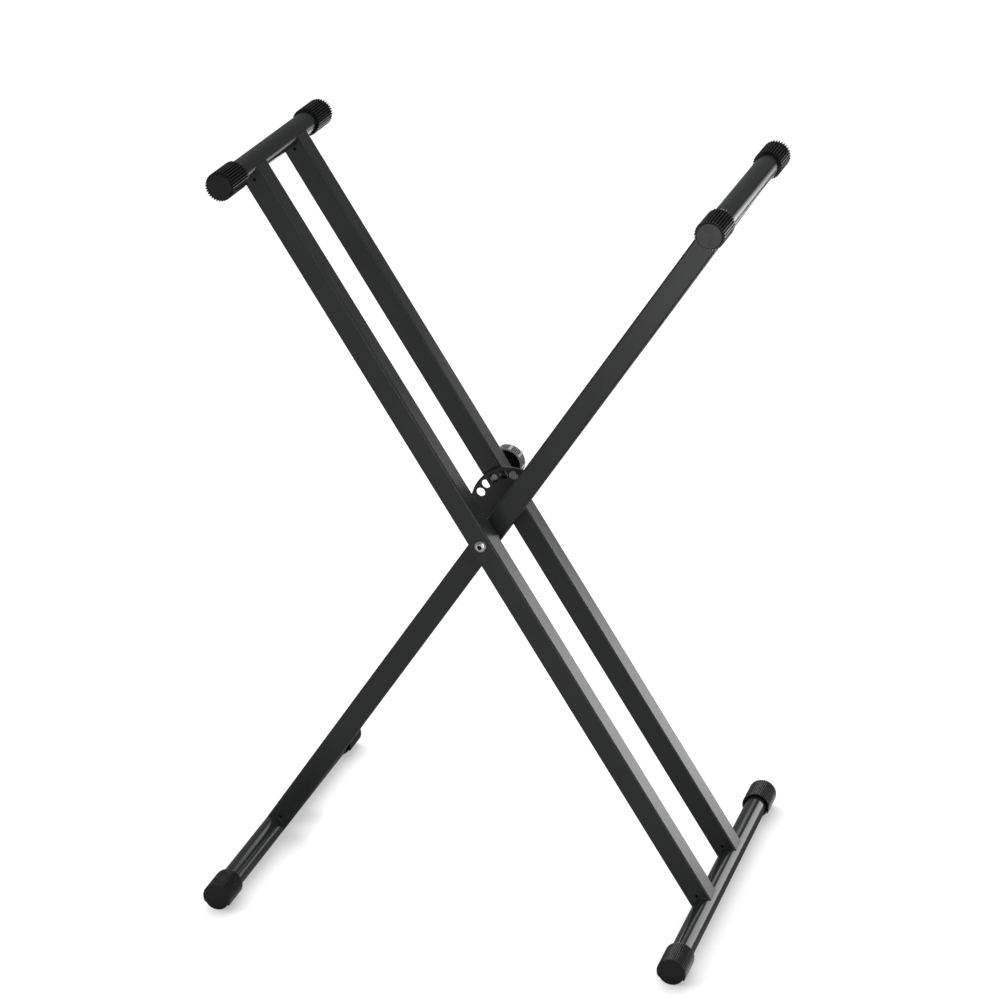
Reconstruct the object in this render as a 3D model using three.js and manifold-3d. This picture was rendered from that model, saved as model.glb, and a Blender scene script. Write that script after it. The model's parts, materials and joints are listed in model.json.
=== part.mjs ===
// Folding keyboard stand: a double-braced X of square steel tube, in millimetres.
// +X runs across the stand, +Y from the front to the rear, +Z up. The origin is on the
// floor, midway between the feet. The outer frame leans to the left and has its foot bar
// on the right; the inner frame stands between the outer legs and leans the other way.
// Both turn on one pivot axis, and a spring pin in the rear outer leg locks them through
// a ring of holes in a plate on the inner frame. The pin is drawn as pulled back.
import * as THREE from "three";
import { mergeVertices } from "three/addons/utils/BufferGeometryUtils.js";
import Module from "manifold-3d";

const wasm = await Module();
wasm.setup();

// ---- Driving dimensions -------------------------------------------------------------

const SEAT_GAP = 0.3; // between pieces that touch
const SPREAD_DEG = 66; // angle between the upper arms as it stands

const TUBE_SIDE = 25; // square leg tube
const TUBE_WALL = 1.5;
const TUBE_CORNER = 2;
const ARM_LENGTH = 480; // pivot axis to bar axis, above and below
const LEG_TIP_TRIM = 5; // cut off the sharp tips of the fish-mouth
const INNER_LEG_SPACE = 32; // between the two inner legs
const VENT_RADIUS = 1.75; // drain hole for the coating bath
const VENT_TO_SADDLE = 3.2; // edge of the fish-mouth to the vent's centre

const BAR_RADIUS = 12.5; // round foot and top bars
const BAR_WALL = 1.5;
const FOOT_SPAN = 435; // length over the caps
const TOP_SPAN = 302;

const CAP_END_WALL = 4;
const FOOT_CAP_LENGTH = 38.5; // ribbed shell
const FOOT_LIP_LENGTH = 4.5; // the sole runs on past the shell
const FOOT_SHELL_WALL = 3.7; // ribbed shell, round the top and the sides
const FOOT_GROOVE_DEPTH = 0.7;
const FOOT_GROOVE_COUNT = 31;
const FOOT_SHELL_DROP_DEG = 28; // how far the shell reaches below the bar's sides
const FOOT_SOLE_WALL = 1.8; // smooth underside
const FOOT_FLAT_WIDTH = 4; // flat that stands on the floor
const FOOT_MOUTH_WIDTH = 2.2; // open groove round the bar at the shell's mouth
const FOOT_MOUTH_DEPTH = 4;
const TOP_CAP_LENGTH = 46;
const TOP_CAP_WALL = 3;
const TOP_TOOTH_DEPTH = 1.4;
const TOP_TOOTH_COUNT = 32;
const TOOTH_ROOT_SHARE = 0.76; // of the pitch
const TOOTH_TIP_SHARE = 0.4;
const TOP_DISC_WALL = 0.8; // smooth end disc
const TOP_DISC_PROUD = 1.5;
const TOP_DISC_CHAMFER = 0.8;

const BOLT_RADIUS = 4; // M8 pivot bolt
const BOLT_HEAD_RIM = 3;
const BOLT_HEAD_HEIGHT = 4.4;
const BOLT_SOCKET_ACROSS = 5;
const BOLT_SOCKET_DEPTH = 2.6;
const BOLT_TIP_CHAMFER = 1;
const BOLT_PAST_NUT = 1.5;
const NUT_WALL = 2.2; // from the bore to the flats
const NUT_HEX_HEIGHT = 6.5;
const NUT_COLLAR_WALL = 1.3;
const NUT_COLLAR_HEIGHT = 1.5;
const WASHER_RIM = 3.7;
const WASHER_THICKNESS = 1.6;
const SLEEVE_WALL = 1.7;
const SPACER_RIM = 7.7;
const REAR_SPACER_THICKNESS = 2.6; // beside the lock plate

const PLATE_THICKNESS = 3;
const PLATE_RIM = 9; // beyond the hole circle
const PLATE_CHORD_DROP = 30; // straight lower edge, below the pivot along the leg
const HOLE_CIRCLE_RADIUS = 39;
const HOLE_CLEARANCE = 1.25; // round the pin
const HOLE_PITCH_DEG = 18;
const WIDER_HOLES = 2; // for a lower stand
const NARROWER_HOLES = 2; // for a higher one
const STORAGE_HOLE_DEG = 6; // folded flat

const PIN_RADIUS = 4;
const PIN_TIP_CHAMFER = 0.8;
const PIN_STANDOFF = 0.4; // pulled tip to the plate
const PIN_PROUD = 3.1; // locked tip past the plate
const PIN_TAIL_STEP = 1; // how much thinner the tail is
const COLLAR_STEP = 2; // how much wider the collar is
const COLLAR_THICKNESS = 2;
const COLLAR_CLEARANCE = 0.8;
const HOUSING_WALL = 1.7;
const HOUSING_NOSE = 5; // guide bore ahead of the spring
const HOUSING_NECK = 8; // behind the leg
const PLUG_THICKNESS = 4;
const SPRING_WIRE = 1.1;
const SPRING_TURNS = 7;

const KNOB_RADIUS = 20;
const KNOB_THICKNESS = 16;
const KNOB_GAP = 4.5; // knob to leg when the pin is home
const KNOB_WALL = 3.4;
const KNOB_HOLLOW_DEPTH = 10;
const KNOB_HUB_WALL = 3.7;
const KNOB_HUB_CLEARANCE = 0.6;
const KNOB_GROUPS = 9; // bands of grip grooves
const KNOB_GROOVES = 5; // in one band
const KNOB_GROOVE_DEPTH = 0.8;
const KNOB_LAND_WIDTH = 3; // smooth land between two bands, in groove widths
const KNOB_FRONT_CHAMFER = 0.8;
const KNOB_BACK_CHAMFER = 2.4;

// ---- Places worked out from them ----------------------------------------------------

const rad = THREE.MathUtils.degToRad;
const HALF_SPREAD = rad(SPREAD_DEG / 2);
const TUBE_HALF = TUBE_SIDE / 2;
const SADDLE_RADIUS = BAR_RADIUS + SEAT_GAP;
const FOOT_RIB_RADIUS = SADDLE_RADIUS + FOOT_SHELL_WALL;
const FOOT_SOLE_RADIUS = SADDLE_RADIUS + FOOT_SOLE_WALL;
const FOOT_MOUTH_RADIUS = SADDLE_RADIUS + FOOT_MOUTH_WIDTH;
const TOP_TOOTH_RADIUS = SADDLE_RADIUS + TOP_CAP_WALL;
const TOP_DISC_RADIUS = SADDLE_RADIUS + TOP_DISC_WALL;
const FOOT_DROP = Math.sqrt(FOOT_SOLE_RADIUS ** 2 - (FOOT_FLAT_WIDTH / 2) ** 2);
const PIVOT_HEIGHT = FOOT_DROP + ARM_LENGTH * Math.cos(HALF_SPREAD);

// Faces of the legs and of what lies between them, counted along Y from the middle.
const INNER_NEAR = INNER_LEG_SPACE / 2;
const INNER_FAR = INNER_NEAR + TUBE_SIDE;
const PLATE_NEAR = INNER_FAR + SEAT_GAP;
const PLATE_FAR = PLATE_NEAR + PLATE_THICKNESS;
const OUTER_NEAR = PLATE_FAR + SEAT_GAP + REAR_SPACER_THICKNESS + SEAT_GAP;
const OUTER_FAR = OUTER_NEAR + TUBE_SIDE;

const BORE_RADIUS = BOLT_RADIUS + SEAT_GAP;
const SLEEVE_RADIUS = BORE_RADIUS + SLEEVE_WALL;
const BOLT_HEAD_RADIUS = BOLT_RADIUS + BOLT_HEAD_RIM;
const HOLE_RADIUS = PIN_RADIUS + HOLE_CLEARANCE;
const PLATE_RADIUS = HOLE_CIRCLE_RADIUS + PLATE_RIM;

const PIN_TAIL_RADIUS = PIN_RADIUS - PIN_TAIL_STEP;
const COLLAR_RADIUS = PIN_RADIUS + COLLAR_STEP;
const CHAMBER_RADIUS = COLLAR_RADIUS + COLLAR_CLEARANCE;
const HOUSING_RADIUS = CHAMBER_RADIUS + HOUSING_WALL;
const PIN_TRAVEL = PIN_STANDOFF + PLATE_THICKNESS + PIN_PROUD;
const PIN_TIP = PLATE_FAR + PIN_STANDOFF;
const CHAMBER_START = OUTER_NEAR + HOUSING_NOSE;
const HOUSING_END = OUTER_FAR + HOUSING_NECK;
const PLUG_START = HOUSING_END - PLUG_THICKNESS;
const COLLAR_START = CHAMBER_START + SEAT_GAP + PIN_TRAVEL;
const COLLAR_END = COLLAR_START + COLLAR_THICKNESS;
const KNOB_RIM = OUTER_FAR + KNOB_GAP + PIN_TRAVEL;
const KNOB_BACK = KNOB_RIM + KNOB_THICKNESS;
const KNOB_FLOOR = KNOB_RIM + KNOB_HOLLOW_DEPTH;
const KNOB_HUB_START = HOUSING_END + PIN_TRAVEL + KNOB_HUB_CLEARANCE;
const KNOB_HUB_RADIUS = PIN_TAIL_RADIUS + SEAT_GAP + KNOB_HUB_WALL;
const PIN_END = (KNOB_FLOOR + KNOB_BACK) / 2;

// ---- Finishes -----------------------------------------------------------------------

const finish = (color, roughness, metalness) =>
  new THREE.MeshStandardMaterial({ color, roughness, metalness });
const POWDER_COAT = finish(0x1d1f1f, 0.38, 0.25);
const GLOSS_COAT = finish(0x151717, 0.2, 0.3);
const RUBBER = finish(0x161717, 0.75, 0);
const ZINC = finish(0xc8cacc, 0.28, 1);
const NYLON = finish(0x202020, 0.5, 0);
const SPRING_STEEL = finish(0x8a8c8e, 0.35, 1);
const KNOB_PLASTIC = finish(0x3a3b3b, 0.45, 0);

// ---- Solids -------------------------------------------------------------------------

const OVERCUT = 1; // a cutter reaches this far past the face that it opens
const FACETS = 24; // round a small part
const BAR_FACETS = 32;
const DRILL_FACETS = 16;

/** Turns a closed three.js geometry into a solid, with its faces pointing outwards. */
function solid(geometry) {
  const bare = geometry.clone();
  bare.deleteAttribute("normal");
  bare.deleteAttribute("uv");
  const merged = mergeVertices(bare, 1e-4);
  const points = merged.attributes.position.array;
  const index = merged.index.array;
  const faces = [];
  let volume = 0;
  for (let i = 0; i < index.length; i += 3) {
    const [a, b, c] = [index[i], index[i + 1], index[i + 2]];
    if (a === b || b === c || c === a) continue;
    faces.push(a, b, c);
    const [p, q, r] = [a, b, c].map((k) => new THREE.Vector3().fromArray(points, 3 * k));
    volume += p.dot(q.cross(r));
  }
  if (volume < 0) faces.reverse();
  const mesh = new wasm.Mesh({
    numProp: 3,
    vertProperties: new Float32Array(points),
    triVerts: new Uint32Array(faces),
  });
  return new wasm.Manifold(mesh);
}

/** A named mesh made from a solid. */
function piece(name, body, material) {
  const mesh = body.getMesh();
  const geometry = new THREE.BufferGeometry();
  geometry.setAttribute("position", new THREE.BufferAttribute(mesh.vertProperties, 3));
  geometry.setIndex(new THREE.BufferAttribute(mesh.triVerts, 1));
  geometry.computeVertexNormals();
  const result = new THREE.Mesh(geometry, material);
  result.name = name;
  return result;
}

/** A revolved solid about the Y axis; the profile holds [radius, y] pairs. */
function turned(profile, facets = FACETS) {
  const points = profile.map(([r, y]) => new THREE.Vector2(r, y));
  const onAxis = points[0].x === 0 && points[points.length - 1].x === 0;
  if (!onAxis) points.push(points[0].clone());
  return solid(new THREE.LatheGeometry(points, facets));
}

/** A tube about the Y axis, from one y to another. */
function ring(outer, inner, from, to, facets = FACETS) {
  return turned([[inner, from], [outer, from], [outer, to], [inner, to]], facets);
}

/** A rod about the Y axis. */
function rod(radius, from, to, facets = FACETS) {
  return turned([[0, from], [radius, from], [radius, to], [0, to]], facets);
}

/** A hexagonal rod along the Y axis. */
function hexagon(across, from, to) {
  return rod(across / Math.sqrt(3), from, to, 6);
}

/** Extrudes an outline in the XZ plane along Y. */
function prism(outline, from, to) {
  const shape = new THREE.Shape(outline);
  const geometry = new THREE.ExtrudeGeometry(shape, { depth: to - from, bevelEnabled: false });
  geometry.rotateX(Math.PI / 2);
  geometry.translate(0, to, 0);
  return solid(geometry);
}

/** A point in an outline, by its distance from the origin and its angle. */
function polar(radius, angle) {
  return new THREE.Vector2(radius * Math.cos(angle), radius * Math.sin(angle));
}

/** Points of an arc about the origin, both ends included. */
function arc(radius, from, to, steps) {
  return Array.from({ length: steps + 1 }, (_, i) => polar(radius, from + ((to - from) * i) / steps));
}

/** A line that runs to and fro between two radii along an arc; it starts and ends on the first. */
function zigzag(count, first, second, from, to) {
  return Array.from({ length: 2 * count + 1 }, (_, i) =>
    polar(i % 2 === 0 ? first : second, from + ((to - from) * i) / (2 * count)));
}

// ---- Legs and bars ------------------------------------------------------------------

/** Outline of a square with rounded corners, about the origin. */
function roundedSquare(half, radius, steps) {
  return [0, 1, 2, 3].flatMap((corner) => {
    const start = (corner * Math.PI) / 2;
    const centre = polar((half - radius) * Math.SQRT2, start + Math.PI / 4);
    return arc(radius, start, start + Math.PI / 2, steps).map((point) => point.add(centre));
  });
}

/** A square tube along Z, centred on the pivot, fish-mouthed onto a bar at each end. */
function legTube() {
  const outline = new THREE.Shape(roundedSquare(TUBE_HALF, TUBE_CORNER, 3));
  const hollow = roundedSquare(TUBE_HALF - TUBE_WALL, TUBE_CORNER / 4, 1);
  outline.holes.push(new THREE.Path(hollow.reverse()));
  const half = ARM_LENGTH - LEG_TIP_TRIM;
  const geometry = new THREE.ExtrudeGeometry(outline, { depth: 2 * half, bevelEnabled: false });
  geometry.translate(0, 0, -half);
  const saddle = rod(SADDLE_RADIUS, -TUBE_SIDE, TUBE_SIDE);
  const vent = rod(VENT_RADIUS, -TUBE_SIDE, 0, DRILL_FACETS);
  const ventHeight = ARM_LENGTH - SADDLE_RADIUS - VENT_TO_SADDLE;
  return [-1, 1].reduce((tube, end) => tube
    .subtract(saddle.translate([0, 0, end * ARM_LENGTH]))
    .subtract(vent.translate([0, 0, end * ventHeight])), solid(geometry));
}

/** A hole along Y at a place in the frame's own plane, through the walls between two y values. */
function drilled(tube, radius, place, from = -TUBE_SIDE, to = TUBE_SIDE) {
  return tube.subtract(rod(radius, from, to).translate([place.x, 0, place.y]));
}

/** A leg on its own centre plane; side is -1 at the front and 1 at the rear. */
function leg(name, body, side, nearFace) {
  const mesh = piece(name, body, POWDER_COAT);
  mesh.position.y = side * (nearFace + TUBE_HALF);
  return mesh;
}

/** A round bar along Y, inside the caps at both ends. */
function bar(name, span) {
  const half = span / 2 - CAP_END_WALL - SEAT_GAP;
  return piece(name, ring(BAR_RADIUS, BAR_RADIUS - BAR_WALL, -half, half, BAR_FACETS), GLOSS_COAT);
}

// ---- Caps, drawn for the front end: closed face at y = 0, mouth further back ----------

/** Foot cap: a ribbed shell above, and a smooth sole below that stands on the floor. */
function footCap() {
  const shellStart = -rad(FOOT_SHELL_DROP_DEG);
  const shellEnd = Math.PI - shellStart;
  const soleEnd = 2 * Math.PI + shellStart;
  const down = 1.5 * Math.PI;
  const flatHalf = Math.asin(FOOT_FLAT_WIDTH / 2 / FOOT_SOLE_RADIUS);
  const lipEnd = FOOT_CAP_LENGTH + FOOT_LIP_LENGTH;
  const soleArc = [
    ...arc(FOOT_SOLE_RADIUS, shellEnd, down - flatHalf, 5),
    ...arc(FOOT_SOLE_RADIUS, down + flatHalf, soleEnd, 5),
  ];
  const shell = zigzag(FOOT_GROOVE_COUNT, FOOT_RIB_RADIUS, FOOT_RIB_RADIUS - FOOT_GROOVE_DEPTH,
    shellStart, shellEnd);
  const mouth = rod(FOOT_MOUTH_RADIUS, FOOT_CAP_LENGTH - FOOT_MOUTH_DEPTH, FOOT_CAP_LENGTH + OVERCUT);
  const taper = turned([[SADDLE_RADIUS, lipEnd + OVERCUT], [FOOT_SOLE_RADIUS + OVERCUT, FOOT_CAP_LENGTH],
    [FOOT_SOLE_RADIUS + OVERCUT, lipEnd + OVERCUT]]);
  const lip = prism([new THREE.Vector2(), ...soleArc], 0, lipEnd).subtract(taper);
  return prism([...shell, ...soleArc], 0, FOOT_CAP_LENGTH)
    .subtract(mouth)
    .add(lip)
    .subtract(rod(SADDLE_RADIUS, CAP_END_WALL, lipEnd + OVERCUT));
}

/** Outline of the top cap's teeth, narrower at the tip, with one tip exactly on top. */
function toothOutline() {
  const pitch = (2 * Math.PI) / TOP_TOOTH_COUNT;
  const root = TOP_TOOTH_RADIUS - TOP_TOOTH_DEPTH;
  return Array.from({ length: TOP_TOOTH_COUNT }, (_, i) => {
    const middle = Math.PI / 2 + pitch * i;
    const [rootHalf, tipHalf] = [TOOTH_ROOT_SHARE, TOOTH_TIP_SHARE].map((share) => (share * pitch) / 2);
    return [
      polar(root, middle - rootHalf),
      polar(TOP_TOOTH_RADIUS, middle - tipHalf),
      polar(TOP_TOOTH_RADIUS, middle + tipHalf),
      polar(root, middle + rootHalf),
    ];
  }).flat();
}

/** Top cap: teeth all round, behind a smooth end disc. */
function topCap() {
  const disc = turned([[0, 0], [TOP_DISC_RADIUS - TOP_DISC_CHAMFER, 0],
    [TOP_DISC_RADIUS, TOP_DISC_CHAMFER], [TOP_DISC_RADIUS, CAP_END_WALL], [0, CAP_END_WALL]]);
  return prism(toothOutline(), TOP_DISC_PROUD, TOP_CAP_LENGTH)
    .add(disc)
    .subtract(rod(SADDLE_RADIUS, CAP_END_WALL, TOP_CAP_LENGTH + OVERCUT));
}

/** Two caps on the ends of a bar, kept upright while their frame leans. */
function capPair(prefix, shape, span, lean) {
  return [["front", -1], ["rear", 1]].map(([end, side]) => {
    const cap = piece(`${prefix}_${end}`, side < 0 ? shape : shape.rotate([0, 0, 180]), RUBBER);
    cap.position.y = (side * span) / 2;
    cap.rotation.y = -lean;
    return cap;
  });
}

/** The legs, bars and caps of one frame, in the frame's own axes, with the pivot at the origin. */
function frame(prefix, lean, legs) {
  const group = new THREE.Group();
  group.position.z = PIVOT_HEIGHT;
  group.rotation.y = lean;
  group.add(...legs);
  const ends = [["foot", -1, FOOT_SPAN, footCap()], ["top", 1, TOP_SPAN, topCap()]];
  for (const [end, direction, span, shape] of ends) {
    const level = new THREE.Group();
    level.position.z = direction * ARM_LENGTH;
    level.add(bar(`${prefix}_${end}_bar`, span), ...capPair(`${prefix}_${end}_cap`, shape, span, lean));
    group.add(level);
  }
  return group;
}

// ---- Pivots, drawn for the rear, with y counted from the middle of the stand ----------

/** Button-head bolt along Y: its tip at y = tip, its head on y = seat. */
function buttonBolt(tip, seat) {
  const top = seat + BOLT_HEAD_HEIGHT;
  const crown = Math.PI / 3; // where the dome gives way to the flat round the socket
  const dome = arc(1, 0, crown, 4).map(({ x, y }) =>
    [BOLT_HEAD_RADIUS * x, seat + (BOLT_HEAD_HEIGHT * y) / Math.sin(crown)]);
  const profile = [[0, tip], [BOLT_RADIUS - BOLT_TIP_CHAMFER, tip], [BOLT_RADIUS, tip + BOLT_TIP_CHAMFER],
    [BOLT_RADIUS, seat], ...dome, [0, top]];
  return turned(profile).subtract(hexagon(BOLT_SOCKET_ACROSS, top - BOLT_SOCKET_DEPTH, top + OVERCUT));
}

/** Lock nut: a hexagon with a round collar on the side away from the leg. */
function lockNut(near, hexNear, far) {
  return hexagon(2 * (BORE_RADIUS + NUT_WALL), hexNear, far)
    .add(rod(BORE_RADIUS + NUT_COLLAR_WALL, near, far))
    .subtract(rod(BORE_RADIUS, near - OVERCUT, far + OVERCUT));
}

/** A round part with the bolt's clearance bore. */
function bushing(wall, from, to) {
  return ring(BORE_RADIUS + wall, BORE_RADIUS, from, to);
}

/** Everything on one pivot bolt; side is -1 at the front and 1 at the rear. */
function pivot(label, side, spacerSeat) {
  const place = (name, body, material) =>
    piece(`${name}_${label}`, side < 0 ? body.rotate([0, 0, 180]) : body, material);
  const washerFar = INNER_NEAR - SEAT_GAP;
  const washerNear = washerFar - WASHER_THICKNESS;
  const nutFar = washerNear - SEAT_GAP;
  const hexNear = nutFar - NUT_HEX_HEIGHT;
  const nutNear = hexNear - NUT_COLLAR_HEIGHT;
  const wallGap = TUBE_WALL + SEAT_GAP;
  return [
    place("pivot_bolt", buttonBolt(nutNear - BOLT_PAST_NUT, OUTER_FAR + SEAT_GAP), ZINC),
    place("pivot_nut", lockNut(nutNear, hexNear, nutFar), ZINC),
    place("pivot_washer", bushing(WASHER_RIM, washerNear, washerFar), ZINC),
    place("pivot_spacer", bushing(SPACER_RIM, spacerSeat + SEAT_GAP, OUTER_NEAR - SEAT_GAP), NYLON),
    place("outer_crush_sleeve", bushing(SLEEVE_WALL, OUTER_NEAR + wallGap, OUTER_FAR - wallGap), ZINC),
    place("inner_bearing_sleeve", bushing(SLEEVE_WALL, INNER_NEAR, INNER_FAR), ZINC),
  ];
}

// ---- Lock: plate, housing, pin, spring and knob ---------------------------------------

/** Place on the hole circle for a given spread, in the inner frame's own plane. */
function onHoleCircle(spreadDeg) {
  return polar(HOLE_CIRCLE_RADIUS, Math.PI / 2 + rad(spreadDeg));
}

/** Round-headed plate behind the rear inner leg, with one edge along the leg's edge. */
function lockPlate() {
  const edge = TUBE_HALF - SEAT_GAP;
  const arcStart = Math.acos(edge / PLATE_RADIUS);
  const arcEnd = Math.PI + Math.asin(PLATE_CHORD_DROP / PLATE_RADIUS);
  const outline = [...arc(PLATE_RADIUS, arcStart, arcEnd, 36), new THREE.Vector2(edge, -PLATE_CHORD_DROP)];
  const steps = WIDER_HOLES + NARROWER_HOLES;
  const spreads = Array.from({ length: steps + 1 }, (_, i) =>
    SPREAD_DEG + HOLE_PITCH_DEG * (WIDER_HOLES - i));
  const pinHole = rod(HOLE_RADIUS, PLATE_NEAR - OVERCUT, PLATE_FAR + OVERCUT, DRILL_FACETS);
  const boltHole = rod(BORE_RADIUS, PLATE_NEAR - OVERCUT, PLATE_FAR + OVERCUT);
  return [...spreads, STORAGE_HOLE_DEG].reduce((plate, spread) => {
    const { x, y } = onHoleCircle(spread);
    return plate.subtract(pinHole.translate([x, 0, y]));
  }, prism(outline, PLATE_NEAR, PLATE_FAR).subtract(boltHole));
}

/** Coil spring on the pin's tail, squeezed between the collar and the plug. */
function lockSpring() {
  const wire = SPRING_WIRE / 2;
  const start = COLLAR_END + SEAT_GAP + wire;
  const length = PLUG_START - SEAT_GAP - wire - start;
  const coilRadius = (PIN_TAIL_RADIUS + CHAMBER_RADIUS) / 2;
  const [stepsPerTurn, sides] = [8, 5];
  const steps = SPRING_TURNS * stepsPerTurn;
  const vertices = [];
  const faces = [];
  for (let i = 0; i <= steps; i += 1) {
    const angle = (2 * Math.PI * i) / stepsPerTurn;
    const section = arc(wire, 0, 2 * Math.PI, sides).slice(1);
    for (const { x, y } of section) {
      const radius = coilRadius + x;
      vertices.push(radius * Math.cos(angle), start + (length * i) / steps + y, radius * Math.sin(angle));
    }
  }
  for (let k = 0; k < steps * sides; k += 1) {
    const next = k % sides === sides - 1 ? k + 1 - sides : k + 1;
    faces.push(k, next, k + sides, next, next + sides, k + sides);
  }
  const last = steps * sides;
  for (let k = 1; k < sides - 1; k += 1) {
    faces.push(0, k + 1, k, last, last + k, last + k + 1);
  }
  const geometry = new THREE.BufferGeometry();
  geometry.setAttribute("position", new THREE.Float32BufferAttribute(vertices, 3));
  geometry.setIndex(faces);
  return solid(geometry);
}

/** Outline of the knob's grip: bands of fine grooves with a smooth land between them. */
function gripOutline() {
  const band = (2 * Math.PI) / KNOB_GROUPS;
  const grooved = (band * KNOB_GROOVES) / (KNOB_GROOVES + KNOB_LAND_WIDTH);
  return Array.from({ length: KNOB_GROUPS }, (_, group) => {
    const start = band * group;
    const landMiddle = start + (grooved + band) / 2;
    return [
      ...zigzag(KNOB_GROOVES, KNOB_RADIUS, KNOB_RADIUS - KNOB_GROOVE_DEPTH, start, start + grooved),
      polar(KNOB_RADIUS, landMiddle),
    ];
  }).flat();
}

/** Knob: a cup open to the front, with a hub on the pin's tail. */
function knob() {
  const wide = KNOB_RADIUS + OVERCUT;
  const hull = turned([[0, KNOB_RIM], [KNOB_RADIUS - KNOB_FRONT_CHAMFER, KNOB_RIM],
    [wide, KNOB_RIM + KNOB_FRONT_CHAMFER + OVERCUT], [wide, KNOB_BACK - KNOB_BACK_CHAMFER - OVERCUT],
    [KNOB_RADIUS - KNOB_BACK_CHAMFER, KNOB_BACK], [0, KNOB_BACK]], BAR_FACETS);
  const hollow = ring(KNOB_RADIUS - KNOB_WALL, KNOB_HUB_RADIUS, KNOB_RIM - OVERCUT, KNOB_FLOOR, BAR_FACETS);
  const shortHub = rod(KNOB_HUB_RADIUS + OVERCUT, KNOB_RIM - OVERCUT, KNOB_HUB_START);
  const bore = rod(PIN_TAIL_RADIUS + SEAT_GAP, KNOB_RIM, PIN_END + SEAT_GAP);
  return prism(gripOutline(), KNOB_RIM, KNOB_BACK)
    .intersect(hull)
    .subtract(hollow)
    .subtract(shortHub)
    .subtract(bore);
}

/** The pin, with its collar and thinner tail. */
function lockPin() {
  return turned([[0, PIN_TIP], [PIN_RADIUS - PIN_TIP_CHAMFER, PIN_TIP],
    [PIN_RADIUS, PIN_TIP + PIN_TIP_CHAMFER], [PIN_RADIUS, COLLAR_START],
    [COLLAR_RADIUS, COLLAR_START], [COLLAR_RADIUS, COLLAR_END],
    [PIN_TAIL_RADIUS, COLLAR_END], [PIN_TAIL_RADIUS, PIN_END], [0, PIN_END]]);
}

/** The housing through the leg: a guide bore in front, the spring's chamber behind. */
function lockHousing() {
  const guide = PIN_RADIUS + SEAT_GAP;
  return turned([[guide, OUTER_NEAR], [HOUSING_RADIUS, OUTER_NEAR], [HOUSING_RADIUS, HOUSING_END],
    [CHAMBER_RADIUS, HOUSING_END], [CHAMBER_RADIUS, CHAMBER_START], [guide, CHAMBER_START]]);
}

/** The plug that closes the chamber behind the spring. */
function lockPlug() {
  return ring(CHAMBER_RADIUS - SEAT_GAP, PIN_TAIL_RADIUS + SEAT_GAP, PLUG_START, HOUSING_END);
}

// ---- Assembly -------------------------------------------------------------------------

const centre = new THREE.Vector2();
const lockPlace = new THREE.Vector2(0, HOLE_CIRCLE_RADIUS);
const outerLeg = drilled(legTube(), BORE_RADIUS, centre);
const outerLockLeg = drilled(outerLeg, HOUSING_RADIUS + SEAT_GAP, lockPlace);
const innerLeg = drilled(legTube(), SLEEVE_RADIUS + SEAT_GAP, centre);
const innerStorageLeg = drilled(innerLeg, HOLE_RADIUS, onHoleCircle(STORAGE_HOLE_DEG), 0);

const outerFrame = frame("outer", -HALF_SPREAD, [
  leg("outer_leg_front", outerLeg, -1, OUTER_NEAR),
  leg("outer_leg_rear", outerLockLeg, 1, OUTER_NEAR),
]);
const innerFrame = frame("inner", HALF_SPREAD, [
  leg("inner_leg_front", innerLeg, -1, INNER_NEAR),
  leg("inner_leg_rear", innerStorageLeg, 1, INNER_NEAR),
  piece("lock_plate", lockPlate(), POWDER_COAT),
]);

const pivots = new THREE.Group();
pivots.position.z = PIVOT_HEIGHT;
pivots.add(...pivot("front", -1, INNER_FAR), ...pivot("rear", 1, PLATE_FAR));

const lock = new THREE.Group();
lock.position.z = HOLE_CIRCLE_RADIUS;
lock.add(
  piece("lock_housing", lockHousing(), ZINC),
  piece("lock_plug", lockPlug(), ZINC),
  piece("lock_spring", lockSpring(), SPRING_STEEL),
  piece("lock_pin", lockPin(), ZINC),
  piece("lock_knob", knob(), KNOB_PLASTIC),
);
outerFrame.add(lock);

const stand = new THREE.Group();
stand.add(outerFrame, innerFrame, pivots);

export default stand;
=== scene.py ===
"""Folding keyboard stand: its fine pieces, its finishes and a plain studio.

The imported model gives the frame. Each fine piece replaces one of its nodes, keeps that node's
place and size, and rides on that node's body. Pieces are modelled in millimetres about their own
axis and are then placed in the frame, in metres.
"""

import json
import logging
import math
from collections.abc import Callable, Iterable, Sequence
from dataclasses import dataclass
from enum import Enum

import bmesh
import bpy
from bmesh.types import BMesh, BMVert
from mathutils import Matrix, Vector


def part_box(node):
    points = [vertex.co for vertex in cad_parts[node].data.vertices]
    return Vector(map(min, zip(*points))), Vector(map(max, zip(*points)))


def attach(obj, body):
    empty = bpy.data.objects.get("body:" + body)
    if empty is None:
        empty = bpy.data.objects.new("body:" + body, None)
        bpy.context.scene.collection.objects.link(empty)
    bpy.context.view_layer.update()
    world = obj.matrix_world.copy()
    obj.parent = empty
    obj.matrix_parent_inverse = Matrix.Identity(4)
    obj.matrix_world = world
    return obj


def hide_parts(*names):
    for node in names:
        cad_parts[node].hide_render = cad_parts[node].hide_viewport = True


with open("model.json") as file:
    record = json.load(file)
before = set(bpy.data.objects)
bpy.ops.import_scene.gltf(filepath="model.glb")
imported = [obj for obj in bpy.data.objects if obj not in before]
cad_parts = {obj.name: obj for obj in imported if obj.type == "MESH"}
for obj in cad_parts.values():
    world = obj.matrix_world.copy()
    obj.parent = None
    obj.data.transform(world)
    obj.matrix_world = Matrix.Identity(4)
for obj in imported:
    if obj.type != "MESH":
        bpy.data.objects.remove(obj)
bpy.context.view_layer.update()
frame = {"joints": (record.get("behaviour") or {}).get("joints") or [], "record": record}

LOG = logging.getLogger("keyboard_stand")
MM = 0.001
TURN = 2 * math.pi
UP = math.pi / 2  # angle of +Z in an outline, which is drawn in the XZ plane
SHARP_EDGE = math.radians(32)
OVERCUT = 1.0  # a cutter reaches this far past the face that it opens
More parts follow.
